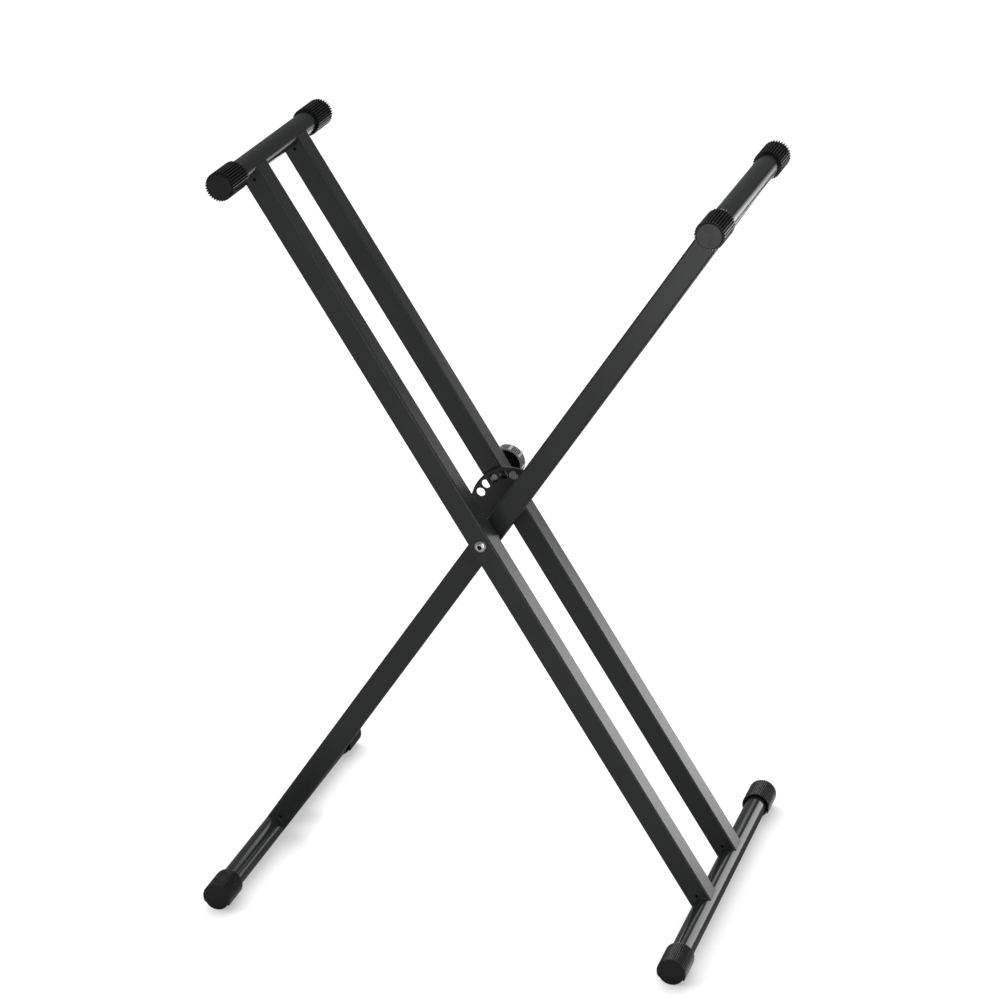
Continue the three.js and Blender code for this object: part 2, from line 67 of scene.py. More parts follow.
HAIRLINE = 0.3  # gap between pieces that touch
ON_FACE = 0.1  # an edge this close to a face is on it
DOUBLED = 1e-4  # points this close are one point
SLIVER = 1e-5  # an edge this short is dissolved
BOLT_BORE = 4.3  # radius of the holes round a pivot bolt
SLEEVE_BORE = 6.3  # radius of the holes round a bearing sleeve
BAR_FACETS = 128
CAP_FACETS = 96
BOLT_FACETS = 64
HOLE_FACETS = 48
VENT_FACETS = 32
CAVITY_SAMPLES = 6

Point = tuple[float, float]  # a point of a turned profile: its radius and its place along Y
Socket = bpy.types.NodeSocket


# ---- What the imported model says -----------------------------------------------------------


class Brace(Enum):
    """The two crossed frames, by the first word of their nodes."""

    OUTER = "outer"
    INNER = "inner"


class End(Enum):
    """The two ends of the stand, by the last word of their nodes; the value is the side along Y."""

    FRONT = -1
    REAR = 1

    @property
    def label(self) -> str:
        """The word in the node's name."""
        return self.name.lower()


def span(node: str) -> tuple[Vector, Vector]:
    """Gives the lowest and highest corner of a node, in millimetres.

    Args:
        node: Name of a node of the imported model.

    Returns:
        The two corners.
    """
    low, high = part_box(node)
    return low / MM, high / MM


def middle(node: str) -> Vector:
    """Gives the middle of a node's box, in millimetres.

    Args:
        node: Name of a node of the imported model.

    Returns:
        The middle.
    """
    low, high = span(node)
    return (low + high) / 2


def body_of(node: str) -> str:
    """Finds the body that carries a node.

    Args:
        node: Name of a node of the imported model.

    Returns:
        The body's name.
    """
    bodies = frame["record"]["behaviour"]["bodies"]
    return next(body for body, nodes in bodies.items() if node in nodes)


def shown(name: str, data: bpy.types.ID) -> bpy.types.Object:
    """Makes an object at the origin and links it to the scene.

    Args:
        name: The object's name.
        data: Its mesh, lamp or camera.

    Returns:
        The object.
    """
    obj = bpy.data.objects.new(name, data)
    bpy.context.scene.collection.objects.link(obj)
    return obj


@dataclass(frozen=True)
class Layout:
    """Where the pivot and the bars are, in millimetres and radians.

    Attributes:
        pivot_height: Height of the pivot axis.
        arm: Distance from the pivot axis to each bar's axis.
        lean: How far the inner frame leans to the right; the outer frame leans as far left.
    """

    pivot_height: float
    arm: float
    lean: float

    @classmethod
    def measured(cls) -> "Layout":
        """Reads the layout from the joint and from the bar at the top right.

        Returns:
            The layout at rest.
        """
        pivot = next(joint for joint in frame["joints"] if joint["name"] == "spread")
        height = pivot["pos_m"][2] / MM
        top = middle("inner_top_bar")
        rise = top.z - height
        return cls(height, math.hypot(top.x, rise), math.atan2(top.x, rise))

    def tilt(self, brace: Brace) -> float:
        """Gives the angle that a frame leans by, about +Y."""
        return self.lean if brace is Brace.INNER else -self.lean

    def brace(self, brace: Brace) -> Matrix:
        """Gives the matrix from a frame's own axes, with the pivot at their origin."""
        return Matrix.Translation((0, 0, self.pivot_height)) @ Matrix.Rotation(self.tilt(brace), 4, "Y")


# ---- Finishes --------------------------------------------------------------------------------


def linked(tree: bpy.types.NodeTree, operation: str, *inputs: object) -> Socket:
    """Adds a Math node.

    Args:
        tree: The node tree to add to.
        operation: The node's operation.
        *inputs: Numbers or sockets, one for each input.

    Returns:
        The result.
    """
    node = tree.nodes.new("ShaderNodeMath")
    node.operation = operation
    for socket, value in zip(node.inputs, inputs):
        if isinstance(value, Socket):
            tree.links.new(value, socket)
        else:
            socket.default_value = value
    return node.outputs[0]


class Shader:
    """A material's node tree, with short calls for the nodes that the finishes use."""

    def __init__(self, name: str) -> None:
        """Starts a material that holds a Principled shader.

        Args:
            name: The material's name.
        """
        self.material = bpy.data.materials.new(name)
        self.material.use_nodes = True
        self.tree = self.material.node_tree
        self.surface = self.tree.nodes["Principled BSDF"]

    def node(self, kind: str, **inputs: object) -> bpy.types.Node:
        """Adds a node and sets its inputs.

        Args:
            kind: The node's type, without the ShaderNode in front.
            **inputs: A value or an output socket for each input, named in lower case with
                underscores.

        Returns:
            The new node.
        """
        node = self.tree.nodes.new("ShaderNode" + kind)
        for name, value in inputs.items():
            self.feed(node, name.replace("_", " ").title(), value)
        return node

    def feed(self, node: bpy.types.Node, socket: str | int, value: object) -> None:
        """Sets or links one input of a node.

        Args:
            node: The node.
            socket: Name or number of its input.
            value: A value, or the output to link from.
        """
        if isinstance(value, Socket):
            self.tree.links.new(value, node.inputs[socket])
        else:
            node.inputs[socket].default_value = value

    def noise(self, size: float, detail: float = 2.0, stretch: Sequence[float] = (1, 1, 1)) -> Socket:
        """Adds noise on the piece's own coordinates.

        Args:
            size: Size of the noise's grains, in millimetres.
            detail: Octaves of finer noise.
            stretch: How much denser the noise is along each axis.

        Returns:
            The noise's value.
        """
        place = self.node("TexCoord").outputs["Object"]
        mapping = self.node("Mapping", vector=place, scale=stretch)
        noise = self.node("TexNoise", vector=mapping.outputs[0], scale=1 / (size * MM), detail=detail)
        return noise.outputs["Fac"]

    def ramp(self, value: Socket, low: object, high: object) -> Socket:
        """Maps the middle of a noise's range onto two numbers."""
        mapped = self.node("MapRange", value=value, from_min=0.35, from_max=0.65, to_min=low, to_max=high)
        return mapped.outputs[0]

    def cavity(self, reach: float, power: float) -> Socket:
        """Gives painted shade: a factor that is 1 in the open and falls in grooves and hollows, as ambient
        occlusion does.

        Args:
            reach: How wide a groove it feels, in millimetres.
            power: How steeply it falls.

        Returns:
            The factor.
        """
        hidden = self.node("AmbientOcclusion", distance=reach * MM)
        hidden.samples = CAVITY_SAMPLES
        bare = self.node("MapRange", value=hidden.outputs["AO"], from_min=0.25, from_max=0.85, to_min=0.04)
        return linked(self.tree, "POWER", bare.outputs[0], power)

    def between(self, share: Socket, low: object, high: object) -> Socket:
        """Mixes two numbers by a share from 0 to 1."""
        return self.node("MapRange", value=share, to_min=low, to_max=high).outputs[0]

    def shade(self, value: Socket, dark: Sequence[float], light: Sequence[float], factor: object) -> None:
        """Mixes two base colours by a value and multiplies the mix by a factor.

        Args:
            value: Share of the light colour.
            dark: The dark colour.
            light: The light colour.
            factor: Number, or the painted shade of grooves and hollows, that darkens the mix.
        """
        mix = self.tree.nodes.new("ShaderNodeMix")
        mix.data_type = "RGBA"
        colours = [socket for socket in mix.inputs if socket.type == "RGBA"]
        self.feed(mix, 0, value)
        for socket, colour in zip(colours, (dark, light)):
            socket.default_value = (*colour, 1)
        result = next(socket for socket in mix.outputs if socket.type == "RGBA")
        scaled = self.tree.nodes.new("ShaderNodeVectorMath")
        scaled.operation = "SCALE"
        self.feed(scaled, 0, result)
        self.feed(scaled, "Scale", factor)
        self.feed(self.surface, "Base Color", scaled.outputs[0])

    def bump(self, height: Socket, depth: float, under: Socket | None = None) -> Socket:
        """Adds a bump.

        Args:
            height: Height, from 0 to 1.
            depth: How deep the bump is, in millimetres.
            under: Normal of a coarser bump below this one.

        Returns:
            The bumped normal.
        """
        bump = self.node("Bump", height=height, distance=depth * MM)
        if under is not None:
            self.feed(bump, "Normal", under)
        return bump.outputs[0]


@dataclass(frozen=True)
class Finish:
    """A finish: a name, a slot of the record, a colour and a gloss.

    Attributes:
        name: The material's name.
        slot: Material slot of the record.
        colour: Base colour, linear.
        roughness: Mean roughness.
        unevenness: How far the roughness and the colour vary, as a share.
        specular: Specular level.
        cavity_reach: How wide a groove gets painted shade, in millimetres, or 0.
        cavity_power: How dark the painted shade gets there.
        cavity_roughness: How rough the grooves get under the painted shade.
        patch_size: Size of the patches in which colour and roughness vary, in millimetres.
    """

    name: str
    slot: str
    colour: tuple[float, float, float]
    roughness: float
    unevenness: float = 0.07
    specular: float = 0.5
    cavity_reach: float = 0.0
    cavity_power: float = 2.0
    cavity_roughness: float = 0.8
    patch_size: float = 10.0

    def material(self) -> bpy.types.Material:
        """Builds the material, or finds it if it has been built.

        Returns:
            The material.
        """
        found = bpy.data.materials.get(self.name)
        if found is not None:
            return found
        shader = Shader(self.name)
        shader.surface.inputs["Specular IOR Level"].default_value = self.specular
        self.dress(shader)
        return shader.material

    def dress(self, shader: Shader) -> None:
        """Sets a material's colour, roughness and bump.

        Args:
            shader: The material to set.
        """
        raise NotImplementedError

    def tone(self, share: float) -> tuple[float, float, float]:
        """Gives the base colour made lighter or darker by a share."""
        return tuple(channel * (1 + share) for channel in self.colour)

    def mottle(self, shader: Shader) -> None:
        """Varies the colour and the roughness slowly over the surface, and paints shade into grooves and
        hollows, which it also makes rougher.

        Args:
            shader: The material to set.
        """
        patches = shader.noise(self.patch_size, detail=3)
        # Painted shade: ambient occlusion darkens the colour in grooves and hollows; the same factor roughens
        # them.
        painted_groove_shade = shader.cavity(self.cavity_reach, self.cavity_power) if self.cavity_reach else 1.0
        dark, light = self.tone(-self.unevenness), self.tone(self.unevenness)
        shader.shade(shader.ramp(patches, 0.0, 1.0), dark, light, painted_groove_shade)
        smoothest, roughest = (self.roughness * (1 + share) for share in (-self.unevenness, self.unevenness))
        rough = shader.ramp(patches, smoothest, roughest)
        if self.cavity_reach:
            rough = shader.between(painted_groove_shade, self.cavity_roughness, rough)
        shader.feed(shader.surface, "Roughness", rough)


@dataclass(frozen=True)
class PowderCoat(Finish):
    """Baked powder coat: a dark film with a fine orange peel.

    Attributes:
        peel_size: Width of one swell of the orange peel, in millimetres.
        peel_depth: Its depth, in millimetres.
        dust_finer: How many times finer the dust on it is.
        dust_flatter: How many times flatter the dust is.
    """

    patch_size: float = 55.0
    peel_size: float = 1.6
    peel_depth: float = 0.007
    dust_finer: float = 5.0
    dust_flatter: float = 6.0

    def dress(self, shader: Shader) -> None:
        """Sets slow patches, the orange peel and a finer dust on it.

        Args:
            shader: The material to set.
        """
        self.mottle(shader)
        peel = shader.bump(shader.noise(self.peel_size, detail=1), self.peel_depth)
        dust = shader.noise(self.peel_size / self.dust_finer, detail=2)
        dust = shader.bump(dust, self.peel_depth / self.dust_flatter, peel)
        shader.feed(shader.surface, "Normal", dust)


@dataclass(frozen=True)
class MouldedRubber(Finish):
    """Matt moulded rubber with a spark-eroded grain and a faint bloom.

    Attributes:
        grain_size: Size of the grain, in millimetres.
        grain_depth: Its depth, in millimetres.
    """

    patch_size: float = 9.0
    grain_size: float = 0.3
    grain_depth: float = 0.005

    def dress(self, shader: Shader) -> None:
        """Sets the bloom and the grain.

        Args:
            shader: The material to set.
        """
        self.mottle(shader)
        grain = shader.noise(self.grain_size, detail=3)
        shader.feed(shader.surface, "Normal", shader.bump(grain, self.grain_depth))


@dataclass(frozen=True)
class BrightMetal(Finish):
    """Plated or drawn steel, with fine turning marks round the Y axis.

    Attributes:
        mark_size: Spacing of the marks, in millimetres.
        mark_depth: Their depth, in millimetres.
        mark_stretch: How dense the marks are along each axis.
    """

    patch_size: float = 3.0
    mark_size: float = 0.25
    mark_depth: float = 0.004
    mark_stretch: tuple[float, float, float] = (0.15, 1, 0.15)

    def dress(self, shader: Shader) -> None:
        """Sets the metal, its cloudy plate and its marks.

        Args:
            shader: The material to set.
        """
        shader.surface.inputs["Metallic"].default_value = 1.0
        self.mottle(shader)
        marks = shader.noise(self.mark_size, detail=2, stretch=self.mark_stretch)
        shader.feed(shader.surface, "Normal", shader.bump(marks, self.mark_depth))


@dataclass(frozen=True)
class MouldedPlastic(Finish):
    """Moulded plastic with a fine grain.

    Attributes:
        grain_size: Size of the grain, in millimetres.
        grain_depth: Its depth, in millimetres.
    """

    patch_size: float = 12.0
    grain_size: float = 0.5
    grain_depth: float = 0.006

    def dress(self, shader: Shader) -> None:
        """Sets the grain and slow patches.

        Args:
            shader: The material to set.
        """
        self.mottle(shader)
        grain = shader.bump(shader.noise(self.grain_size, detail=2), self.grain_depth)
        shader.feed(shader.surface, "Normal", grain)


LEG_COAT = PowderCoat("satin_leg_coat", "leg_coat", (0.0275, 0.0288, 0.0289), 0.27)
BAR_COAT = PowderCoat(
    "gloss_bar_coat", "bar_coat", (0.018, 0.0195, 0.0192), 0.16, peel_size=2.8, peel_depth=0.0015
)
PLATE_COAT = PowderCoat("satin_plate_coat", "plate_coat", (0.022, 0.0233, 0.0233), 0.36)
# Cap rubber: its rib grooves get painted shade through cavity_reach.
CAP_RUBBER = MouldedRubber(
    "matt_cap_rubber", "cap_rubber", (0.0105, 0.0118, 0.0112), 0.26,
    specular=0.42, cavity_reach=1.6, cavity_power=2.0,
)
ZINC = BrightMetal("bright_zinc_plate", "fastener_zinc", (0.92, 0.93, 0.935), 0.28)
PIN_STEEL = BrightMetal("ground_pin_steel", "fastener_zinc", (0.34, 0.345, 0.35), 0.3)
# A dark lining that paints the shade inside the bolts' sockets.
SOCKET_PAINTED_SHADE = BrightMetal("stained_socket_steel", "fastener_zinc", (0.05, 0.05, 0.052), 0.45)
SPRING_STEEL = BrightMetal("drawn_spring_wire", "spring_steel", (0.4, 0.41, 0.42), 0.34)
NYLON = MouldedPlastic("black_nylon", "spacer_nylon", (0.02, 0.02, 0.02), 0.46)
# Knob: the light grey stands in for gloss on black plastic, a painted sheen, and its grooves and hollow get
# painted shade.
PAINTED_LIGHT_KNOB_PLASTIC = MouldedPlastic(
    "moulded_knob_plastic", "knob_plastic", (0.5, 0.503, 0.502), 0.24,
    specular=0.5, cavity_reach=3.0, cavity_power=2.2,
)
# A black lining that paints the shade inside the knob's hollow.
KNOB_SHADE_LINING = MouldedPlastic("black_knob_core", "knob_plastic", (0.014, 0.014, 0.014), 0.5, specular=0.35)


# ---- The bench: one piece being shaped, in millimetres -----------------------------------------


def polar(radius: float, angle: float, y: float = 0.0) -> Vector:
    """Gives a point in a plane across the Y axis, by its radius and its angle from +X to +Z."""
    return Vector((radius * math.cos(angle), y, radius * math.sin(angle)))


def rounding(radius: float, centre: Point, start: float, sweep: float, steps: int = 4) -> list[Point]:
    """Gives the points of an arc in a profile.

    Args:
        radius: Radius of the arc.
        centre: Its centre, as a radius from the axis and a place along it.
        start: Angle of the first point, from outwards to along the axis.
        sweep: How far it turns.
        steps: How many chords it has.

    Returns:
        The points, as pairs of a radius and a place along the axis.
    """
    angles = [start + sweep * step / steps for step in range(steps + 1)]
    return [(centre[0] + radius * math.cos(a), centre[1] + radius * math.sin(a)) for a in angles]


def hexagon(across: float) -> list[Vector]:
    """Gives the corners of a hexagon in the XZ plane, by its width across the flats."""
    return [polar(across / math.sqrt(3), TURN * corner / 6) for corner in range(6)]


class Workpiece:
    """One piece on the bench, about the Y axis, shaped by bmesh operators."""

    def __init__(self) -> None:
        """Starts with nothing on the bench."""
        self.bm: BMesh = bmesh.new()

    @classmethod
    def turned(cls, profile: Sequence[Point], steps: int = BOLT_FACETS) -> "Workpiece":
        """Turns a closed profile round the Y axis.

        Args:
            profile: Pairs of a radius and a place along Y. It closes on itself.
            steps: Facets round the piece.

        Returns:
            The turned piece.
        """
        work = cls()
        verts = [work.bm.verts.new((radius, y, 0)) for radius, y in profile]
        edges = [work.bm.edges.new(pair) for pair in zip(verts, verts[1:] + verts[:1])]
        bmesh.ops.spin(
            work.bm, geom=edges + verts, cent=(0, 0, 0), axis=(0, 1, 0),
            angle=TURN, steps=steps, use_merge=True, use_duplicate=False,
        )
        return work.cleaned()

    @classmethod
    def swept(
        cls, section: Iterable[Sequence[float]], shift: Sequence[float], angle: float, steps: int
    ) -> "Workpiece":
        """Sweeps a section along a line, round the Y axis or up a helix about it.

        Args:
            section: Corners of the section, in order.
            shift: How far it runs in a straight line.
            angle: How far it turns about the Y axis.
            steps: Stretches along it.

        Returns:
            The swept piece, closed at both ends, before it is cleaned.
        """
        work = cls()
        verts = [work.bm.verts.new(corner) for corner in section]
        face = work.bm.faces.new(verts)
        bmesh.ops.spin(
            work.bm, geom=[face, *face.edges, *verts], cent=(0, 0, 0), axis=(0, 1, 0),
            dvec=[part / steps for part in shift], angle=angle, steps=steps, use_duplicate=False,
        )
        return work

    @classmethod
    def extruded(cls, points: Iterable[Vector], start: float, end: float) -> "Workpiece":
        """Extrudes an outline along Y.

        Args:
            points: Points of the outline in the XZ plane, in order.
            start: Where the extrusion starts along Y.
            end: Where it ends.

        Returns:
            The closed piece.
        """
        work = cls()
        face = work.bm.faces.new([work.bm.verts.new((point.x, start, point.z)) for point in points])
        grown = bmesh.ops.extrude_face_region(work.bm, geom=[face])
        moved = [item for item in grown["geom"] if isinstance(item, BMVert)]
        bmesh.ops.translate(work.bm, verts=moved, vec=(0, end - start, 0))
        return work.cleaned()

    @classmethod
    def block(cls, size: Sequence[float], corner: float, segments: int) -> "Workpiece":
        """Makes a block whose four edges along Z are rounded.

        Args:
            size: Its three sides.
            corner: Radius of the rounded edges.
            segments: Facets round each of them.

        Returns:
            The block, about the origin.
        """
        work = cls()
        bmesh.ops.create_cube(work.bm, size=1.0, matrix=Matrix.Diagonal((*size, 1)))
        upright = [edge for edge in work.bm.edges if abs(edge.verts[0].co.z - edge.verts[1].co.z) > corner]
        work.bevel(upright, corner, segments)
        return work

    def cleaned(self) -> "Workpiece":
        """Merges doubled points and turns every face outwards.

        Returns:
            The piece itself.
        """
        bmesh.ops.remove_doubles(self.bm, verts=self.bm.verts, dist=DOUBLED)
        bmesh.ops.dissolve_degenerate(self.bm, dist=SLIVER, edges=self.bm.edges)
        bmesh.ops.recalc_face_normals(self.bm, faces=self.bm.faces)
        return self

    def bevel(self, edges: Iterable[bmesh.types.BMEdge], offset: float, segments: int) -> None:
        """Rounds some edges.

        Args:
            edges: The edges.
            offset: Width of the rounding on each side.
            segments: Facets across it.
        """
        bmesh.ops.bevel(
            self.bm, geom=list(edges), offset=offset, offset_type="OFFSET", segments=segments,
            profile=0.5, affect="EDGES", clamp_overlap=True, material=-1,
        )

    def softened(
        self, offset: float, segments: int = 2, only: Callable[[Vector], bool] | None = None
    ) -> "Workpiece":
        """Rounds every sharp edge, or those whose middle passes a test.

        Args:
            offset: Width of the rounding on each side.
            segments: Facets across it.
            only: Test of an edge's middle.

        Returns:
            The piece itself.
        """
        sharp = [
            edge for edge in self.bm.edges
            if len(edge.link_faces) == 2 and edge.calc_face_angle(0) > SHARP_EDGE
            and (only is None or only((edge.verts[0].co + edge.verts[1].co) / 2))
        ]
        self.bevel(sharp, offset, segments)
        return self

    def moved(self, matrix: Matrix) -> "Workpiece":
        """Moves or turns the piece."""
        self.bm.transform(matrix)
        return self

    def copy(self) -> "Workpiece":
        """Gives a second piece like this one.

        Returns:
            The second piece.
        """
        twin = Workpiece()
        twin.bm = self.bm.copy()
        return twin

    def with_parts(self, *others: "Workpiece") -> "Workpiece":
        """Lays other pieces beside this one, in the same mesh, without joining them.

        Args:
            *others: The other pieces.

        Returns:
            The piece itself.
        """
        for other in others:
            mesh = bpy.data.meshes.new("part")
            other.bm.to_mesh(mesh)
            self.bm.from_mesh(mesh)
            bpy.data.meshes.remove(mesh)
        return self

    def cut(self, *cutters: "Workpiece") -> "Workpiece":
        """Cuts away cutters that are clear of each other."""
        return self._combine(cutters, "DIFFERENCE")

    def joined(self, *others: "Workpiece") -> "Workpiece":
        """Joins other pieces, which are clear of each other, to this one."""
        return self._combine(others, "UNION")

    def kept_inside(self, hull: "Workpiece") -> "Workpiece":
        """Keeps what lies inside a hull."""
        return self._combine([hull], "INTERSECT")

    def _combine(self, others: Sequence["Workpiece"], operation: str) -> "Workpiece":
        """Runs a Boolean modifier, because bmesh has no operator for it.

        Args:
            others: The pieces to cut away or to join.
            operation: The modifier's operation.

        Returns:
            The piece itself.
        """
        tool = Workpiece().with_parts(*others)
        pair = [bpy.data.objects.new("bench", bpy.data.meshes.new("bench")) for _ in range(2)]
        for obj, work in zip(pair, (self, tool)):
            work.bm.to_mesh(obj.data)
            bpy.context.scene.collection.objects.link(obj)
        modifier = pair[0].modifiers.new("combine", "BOOLEAN")
        modifier.operation = operation
        modifier.object = pair[1]
        modifier.solver = "EXACT"
        depsgraph = bpy.context.evaluated_depsgraph_get()
        result = bpy.data.meshes.new_from_object(pair[0].evaluated_get(depsgraph))
        self.bm.clear()
        self.bm.from_mesh(result)
        for mesh in (result, *(obj.data for obj in pair)):
            bpy.data.meshes.remove(mesh)
        return self.cleaned()

    def placed(self, name: str, body: str, finish: Finish, place: Matrix) -> bpy.types.Object:
        """Puts the piece in the frame and dresses it.

        Its faces are turned outwards on the bench, in millimetres, and not again here: a second
        pass in metres turned some small pieces inside out.

        Args:
            name: The object's name.
            body: The body that it rides on.
            finish: Its finish.
            place: Matrix from its own axes to the frame, in millimetres.

        Returns:
            The object, at the origin, with its place in its mesh.
        """
        self.bm.transform(Matrix.Scale(MM, 4) @ place)
        mesh = bpy.data.meshes.new(name)
        self.bm.to_mesh(mesh)
        self.bm.free()
        mesh.shade_smooth()
        mesh.set_sharp_from_angle(angle=SHARP_EDGE)
        mesh.materials.append(finish.material())
        piece = shown(name, mesh)
        even = piece.modifiers.new("even_normals", "WEIGHTED_NORMAL")
        even.keep_sharp = True
        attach(piece, body)
        LOG.info("%s rides on %s, %d faces", name, body, len(mesh.polygons))
        return piece

    def replacing(self, node: str, finish: Finish, place: Matrix) -> bpy.types.Object:
        """Puts the piece in the frame in place of a node, on that node's body.

        Args:
            node: The node that it replaces.
            finish: Its finish.
            place: Matrix from its own axes to the frame, in millimetres.

        Returns:
            The object.
        """
        piece = self.placed(f"fine_{node}", body_of(node), finish, place)
        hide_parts(node)
        return piece


def rod(radius: float, start: float, end: float, steps: int = BOLT_FACETS) -> Workpiece:
    """Makes a rod about the Y axis."""
    return Workpiece.turned([(0, start), (radius, start), (radius, end), (0, end)], steps)


def ring(outer: float, inner: float, start: float, end: float, steps: int = BOLT_FACETS) -> Workpiece:
    """Makes a tube about the Y axis."""
    return Workpiece.turned([(inner, start), (outer, start), (outer, end), (inner, end)], steps)


def arc_points(radius: Callable[[float], float], start: float, sweep: float, steps: int) -> list[Vector]:
    """Gives the points of a round outline whose radius is a function of the angle.

    Args:
        radius: Gives the radius at an angle.
        start: First angle.
        sweep: How far the arc turns.
        steps: Chords along it.

    Returns:
        The points in the XZ plane, both ends included.
    """
    angles = [start + sweep * step / steps for step in range(steps + 1)]
    return [polar(radius(angle), angle) for angle in angles]


# ---- Frames: legs, bars and welds ---------------------------------------------------------------


@dataclass(frozen=True)
class Leg:
    """A square tube with a fish-mouth at each end, drawn along Z about the pivot.

    Attributes:
        arm: Pivot axis to bar axis.
        saddle: Radius of the fish-mouth.
        side: Side of the square tube.
        wall: Its wall.
        corner: Outer radius of its corners.
        inner_corner: Inner radius of its corners.
        tip_trim: Cut off the sharp tips of the fish-mouth.
        vent: Radius of the vent holes.
        vent_to_saddle: Edge of the fish-mouth to a vent's centre.
    """

    arm: float
    saddle: float
    side: float = 25.0
    wall: float = 1.5
    corner: float = 2.0
    inner_corner: float = 0.5
    tip_trim: float = 5.0
    vent: float = 1.75
    vent_to_saddle: float = 3.2

    def tube(self) -> Workpiece:
        """Makes the tube with its fish-mouths and vents, before any bolt hole.

        Returns:
            The tube.
        """
        length = 2 * (self.arm - self.tip_trim)
        inside = self.side - 2 * self.wall
        work = Workpiece.block((self.side, self.side, length), self.corner, segments=6)
        work.cut(Workpiece.block((inside, inside, length + 2 * OVERCUT), self.inner_corner, segments=3))
        cutters = []
        for end in (-1, 1):
            vent_height = self.arm - self.saddle - self.vent_to_saddle
            mouth = rod(self.saddle, -self.side, self.side, CAP_FACETS)
            cutters.append(mouth.moved(self.lifted(end * self.arm)))
            vent = rod(self.vent, -self.side, 0, VENT_FACETS)
            cutters.append(vent.moved(self.lifted(end * vent_height)))
        return work.cut(*cutters)

    @staticmethod
    def lifted(height: float) -> Matrix:
        """Gives a shift along the leg."""
        return Matrix.Translation((0, 0, height))


@dataclass(frozen=True)
class WeldBead:
    """The bead round a leg's end, where it sits on a bar.

    Attributes:
        bar_radius: Radius of the bar.
        side: Side of the leg.
        tip_trim: How far short of the bar's axis the leg's sides stop.
        radius: Radius of the bead.
        ripple: How far its radius swells and shrinks, as a share.
        ripple_length: Length of one ripple.
        steps_per_ripple: Stretches along one ripple.
        facets: Facets round the bead.
    """

    bar_radius: float
    side: float
    tip_trim: float
    radius: float = 0.5
    ripple: float = 0.14
    ripple_length: float = 1.5
    steps_per_ripple: int = 4
    facets: int = 10

    def sweep(
        self, start: Vector, axes: tuple[Vector, Vector], length: float,
        angle: float = 0.0, shift: Vector = Vector(),
    ) -> Workpiece:
        """Sweeps a round section about the bar, or in a straight line.

        Args:
            start: Middle of the first section.
            axes: The two directions that the section lies in.
            length: Length of the bead.
            angle: How far it turns about the bar.
            shift: How far it runs in a straight line.

        Returns:
            The bead with its ripples, closed at both ends.
        """
        across, outwards = axes
        turns = [TURN * facet / self.facets for facet in range(self.facets)]
        section = [
            start + self.radius * (across * math.cos(turn) + outwards * math.sin(turn)) for turn in turns
        ]
        steps = round(length / self.ripple_length) * self.steps_per_ripple
        work = Workpiece.swept(section, shift, angle, steps)
        for vert in work.bm.verts:
            centre, along = self.nearest(vert.co, start, angle, shift)
            swell = 1 + self.ripple * math.sin(TURN * along / self.ripple_length)
            vert.co = centre + (vert.co - centre) * swell
        return work.cleaned()

    @staticmethod
    def nearest(point: Vector, start: Vector, angle: float, shift: Vector) -> tuple[Vector, float]:
        """Finds the bead's middle line beside a point.

        Args:
            point: The point.
            start: Where the middle line starts.
            angle: How far it turns about the bar, or 0 for a straight bead.
            shift: How far a straight bead runs.

        Returns:
            The nearest point of the middle line, and how far along it that is.
        """
        if angle:
            radius = math.hypot(start.x, start.z)
            at = math.atan2(point.z, point.x)
            return polar(radius, at, start.y), radius * at
        line = shift.normalized()
        along = (point - start).dot(line)
        return start + line * along, along

    def round_the_leg(self) -> Workpiece:
        """Makes the four stretches of bead, about the bar, with the leg towards +Z.

        Returns:
            The bead.
        """
        reach = math.acos(self.tip_trim / self.bar_radius)
        work = Workpiece()
        for face in (-1, 1):
            start = polar(self.bar_radius, UP + reach, face * self.side / 2)
            axes = (Vector((0, 1, 0)), Vector((start.x, 0, start.z)).normalized())
            work.with_parts(self.sweep(start, axes, 2 * reach * self.bar_radius, angle=2 * reach))
            side = polar(self.bar_radius, UP + face * reach, -self.side / 2)
            axes = (Vector((1, 0, 0)), Vector((0, 0, 1)))
            work.with_parts(self.sweep(side, axes, self.side, shift=Vector((0, self.side, 0))))
        return work


